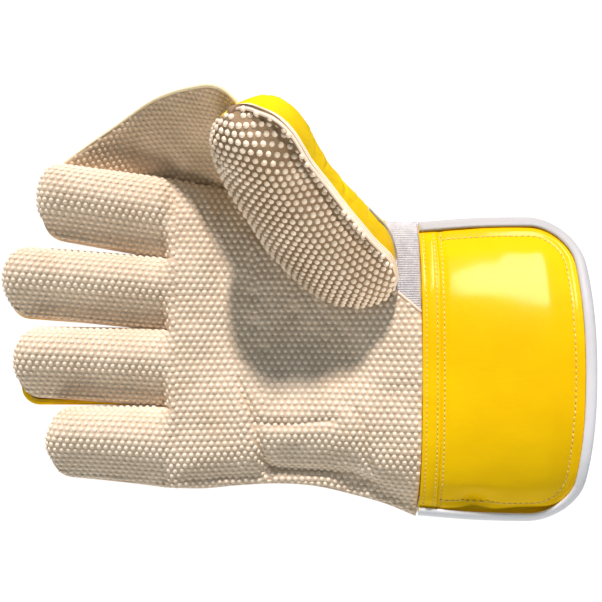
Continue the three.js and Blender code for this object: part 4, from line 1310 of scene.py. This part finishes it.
# Camera, light and floor
LENS, CAMERA_PLACE = 49.57, (0.00525, 0.00633, 0.480)
SUN_HEIGHT, SUN_SIDE = math.radians(30), math.radians(-3)


def add_sun(name, energy, place, spread, colour):
    """A sun that shines from a place towards the origin and shows in no highlight."""
    data = bpy.data.lights.new(name, "SUN")
    data.energy, data.angle, data.color = energy, math.radians(spread), colour
    light = in_scene(name, data)
    light.location = place
    light.rotation_euler = (-Vector(place)).to_track_quat("-Z", "Y").to_euler()
    light.visible_glossy = False
    return light


view = bpy.data.cameras.new("view")
view.sensor_width, view.lens = 36, LENS
camera = in_scene("view", view)
camera.location = CAMERA_PLACE
bpy.context.scene.camera = camera
add_sun("sun", 4.75, (math.cos(SUN_HEIGHT) * math.sin(SUN_SIDE), math.cos(SUN_HEIGHT) * math.cos(SUN_SIDE),
                      math.sin(SUN_HEIGHT)), 4, (1.0, 0.90, 0.86))
# Bright card whose corners are seen in the cuff as the corners of its highlight
CARDS = [
    [(0.017, 0.353, 0.540), (0.032, 0.404, 0.505), (0.149, 0.493, 0.421), (0.196, 0.564, 0.311),
     (0.295, 0.592, 0.207), (0.303, 0.574, 0.250), (0.221, 0.304, 0.572), (0.188, 0.258, 0.598),
     (0.107, 0.299, 0.580), (0.000, 0.242, 0.596)],
    [(-0.028, 0.307, 0.561), (-0.009, 0.352, 0.538), (-0.009, 0.321, 0.556), (-0.030, 0.239, 0.593),
     (-0.043, 0.224, 0.596)],
]
card_material = Nodes("bright_card").finish(
    Base_Color=(0.0, 0.0, 0.0), Emission_Color=(1.0, 1.0, 0.96), Emission_Strength=11.0)
for number, corners in enumerate(CARDS):
    count = len(corners)
    hub = [sum(corner[axis] for corner in corners) / count for axis in range(3)]
    faces = [(turn, (turn + 1) % count, count) for turn in range(count)]
    card = in_scene(f"card_{number}", mesh_of(f"card_{number}", corners + [hub], faces, card_material))
    card.visible_camera = card.visible_diffuse = card.visible_shadow = False
fill = add_sun("thumb_fill", 1.9, (0.640, 0.020, 0.768), 6, (1.0, 0.93, 0.86))
lit_by_fill = bpy.data.collections.new("lit_by_fill")
for piece in (thumb_front, thumb_domes, thumb_cord):
    lit_by_fill.objects.link(piece)
fill.light_linking.receiver_collection = lit_by_fill
add_sun("bounce", 1.3, (-0.15, -0.93, 0.34), 20, (1.0, 0.92, 0.84))
world = bpy.data.worlds.new("studio")
world.use_nodes = True
background = world.node_tree.nodes["Background"].inputs
background[0].default_value, background[1].default_value = (0.86, 0.97, 1.0, 1), 0.23
world.cycles_visibility.glossy = False
bpy.context.scene.world = world

FLOOR_REACH = 3.0
nodes = Nodes("pale_floor")
tint = nodes.ramp(nodes.noise(3.0), (0.3, (0.10, 0.10, 0.10)), (0.7, (0.12, 0.12, 0.12)))
pale = nodes.finish(Base_Color=tint, Roughness=0.9, Emission_Color=(1.0, 1.0, 1.0), Emission_Strength=1.0)
corners = [(FLOOR_REACH * x, FLOOR_REACH * y, 0) for x, y in ((-1, -1), (1, -1), (1, 1), (-1, 1))]
floor = in_scene("floor", mesh_of("floor", corners, [(0, 1, 2, 3)], pale))
floor.visible_glossy = False
bpy.context.scene.view_settings.view_transform = "Standard"
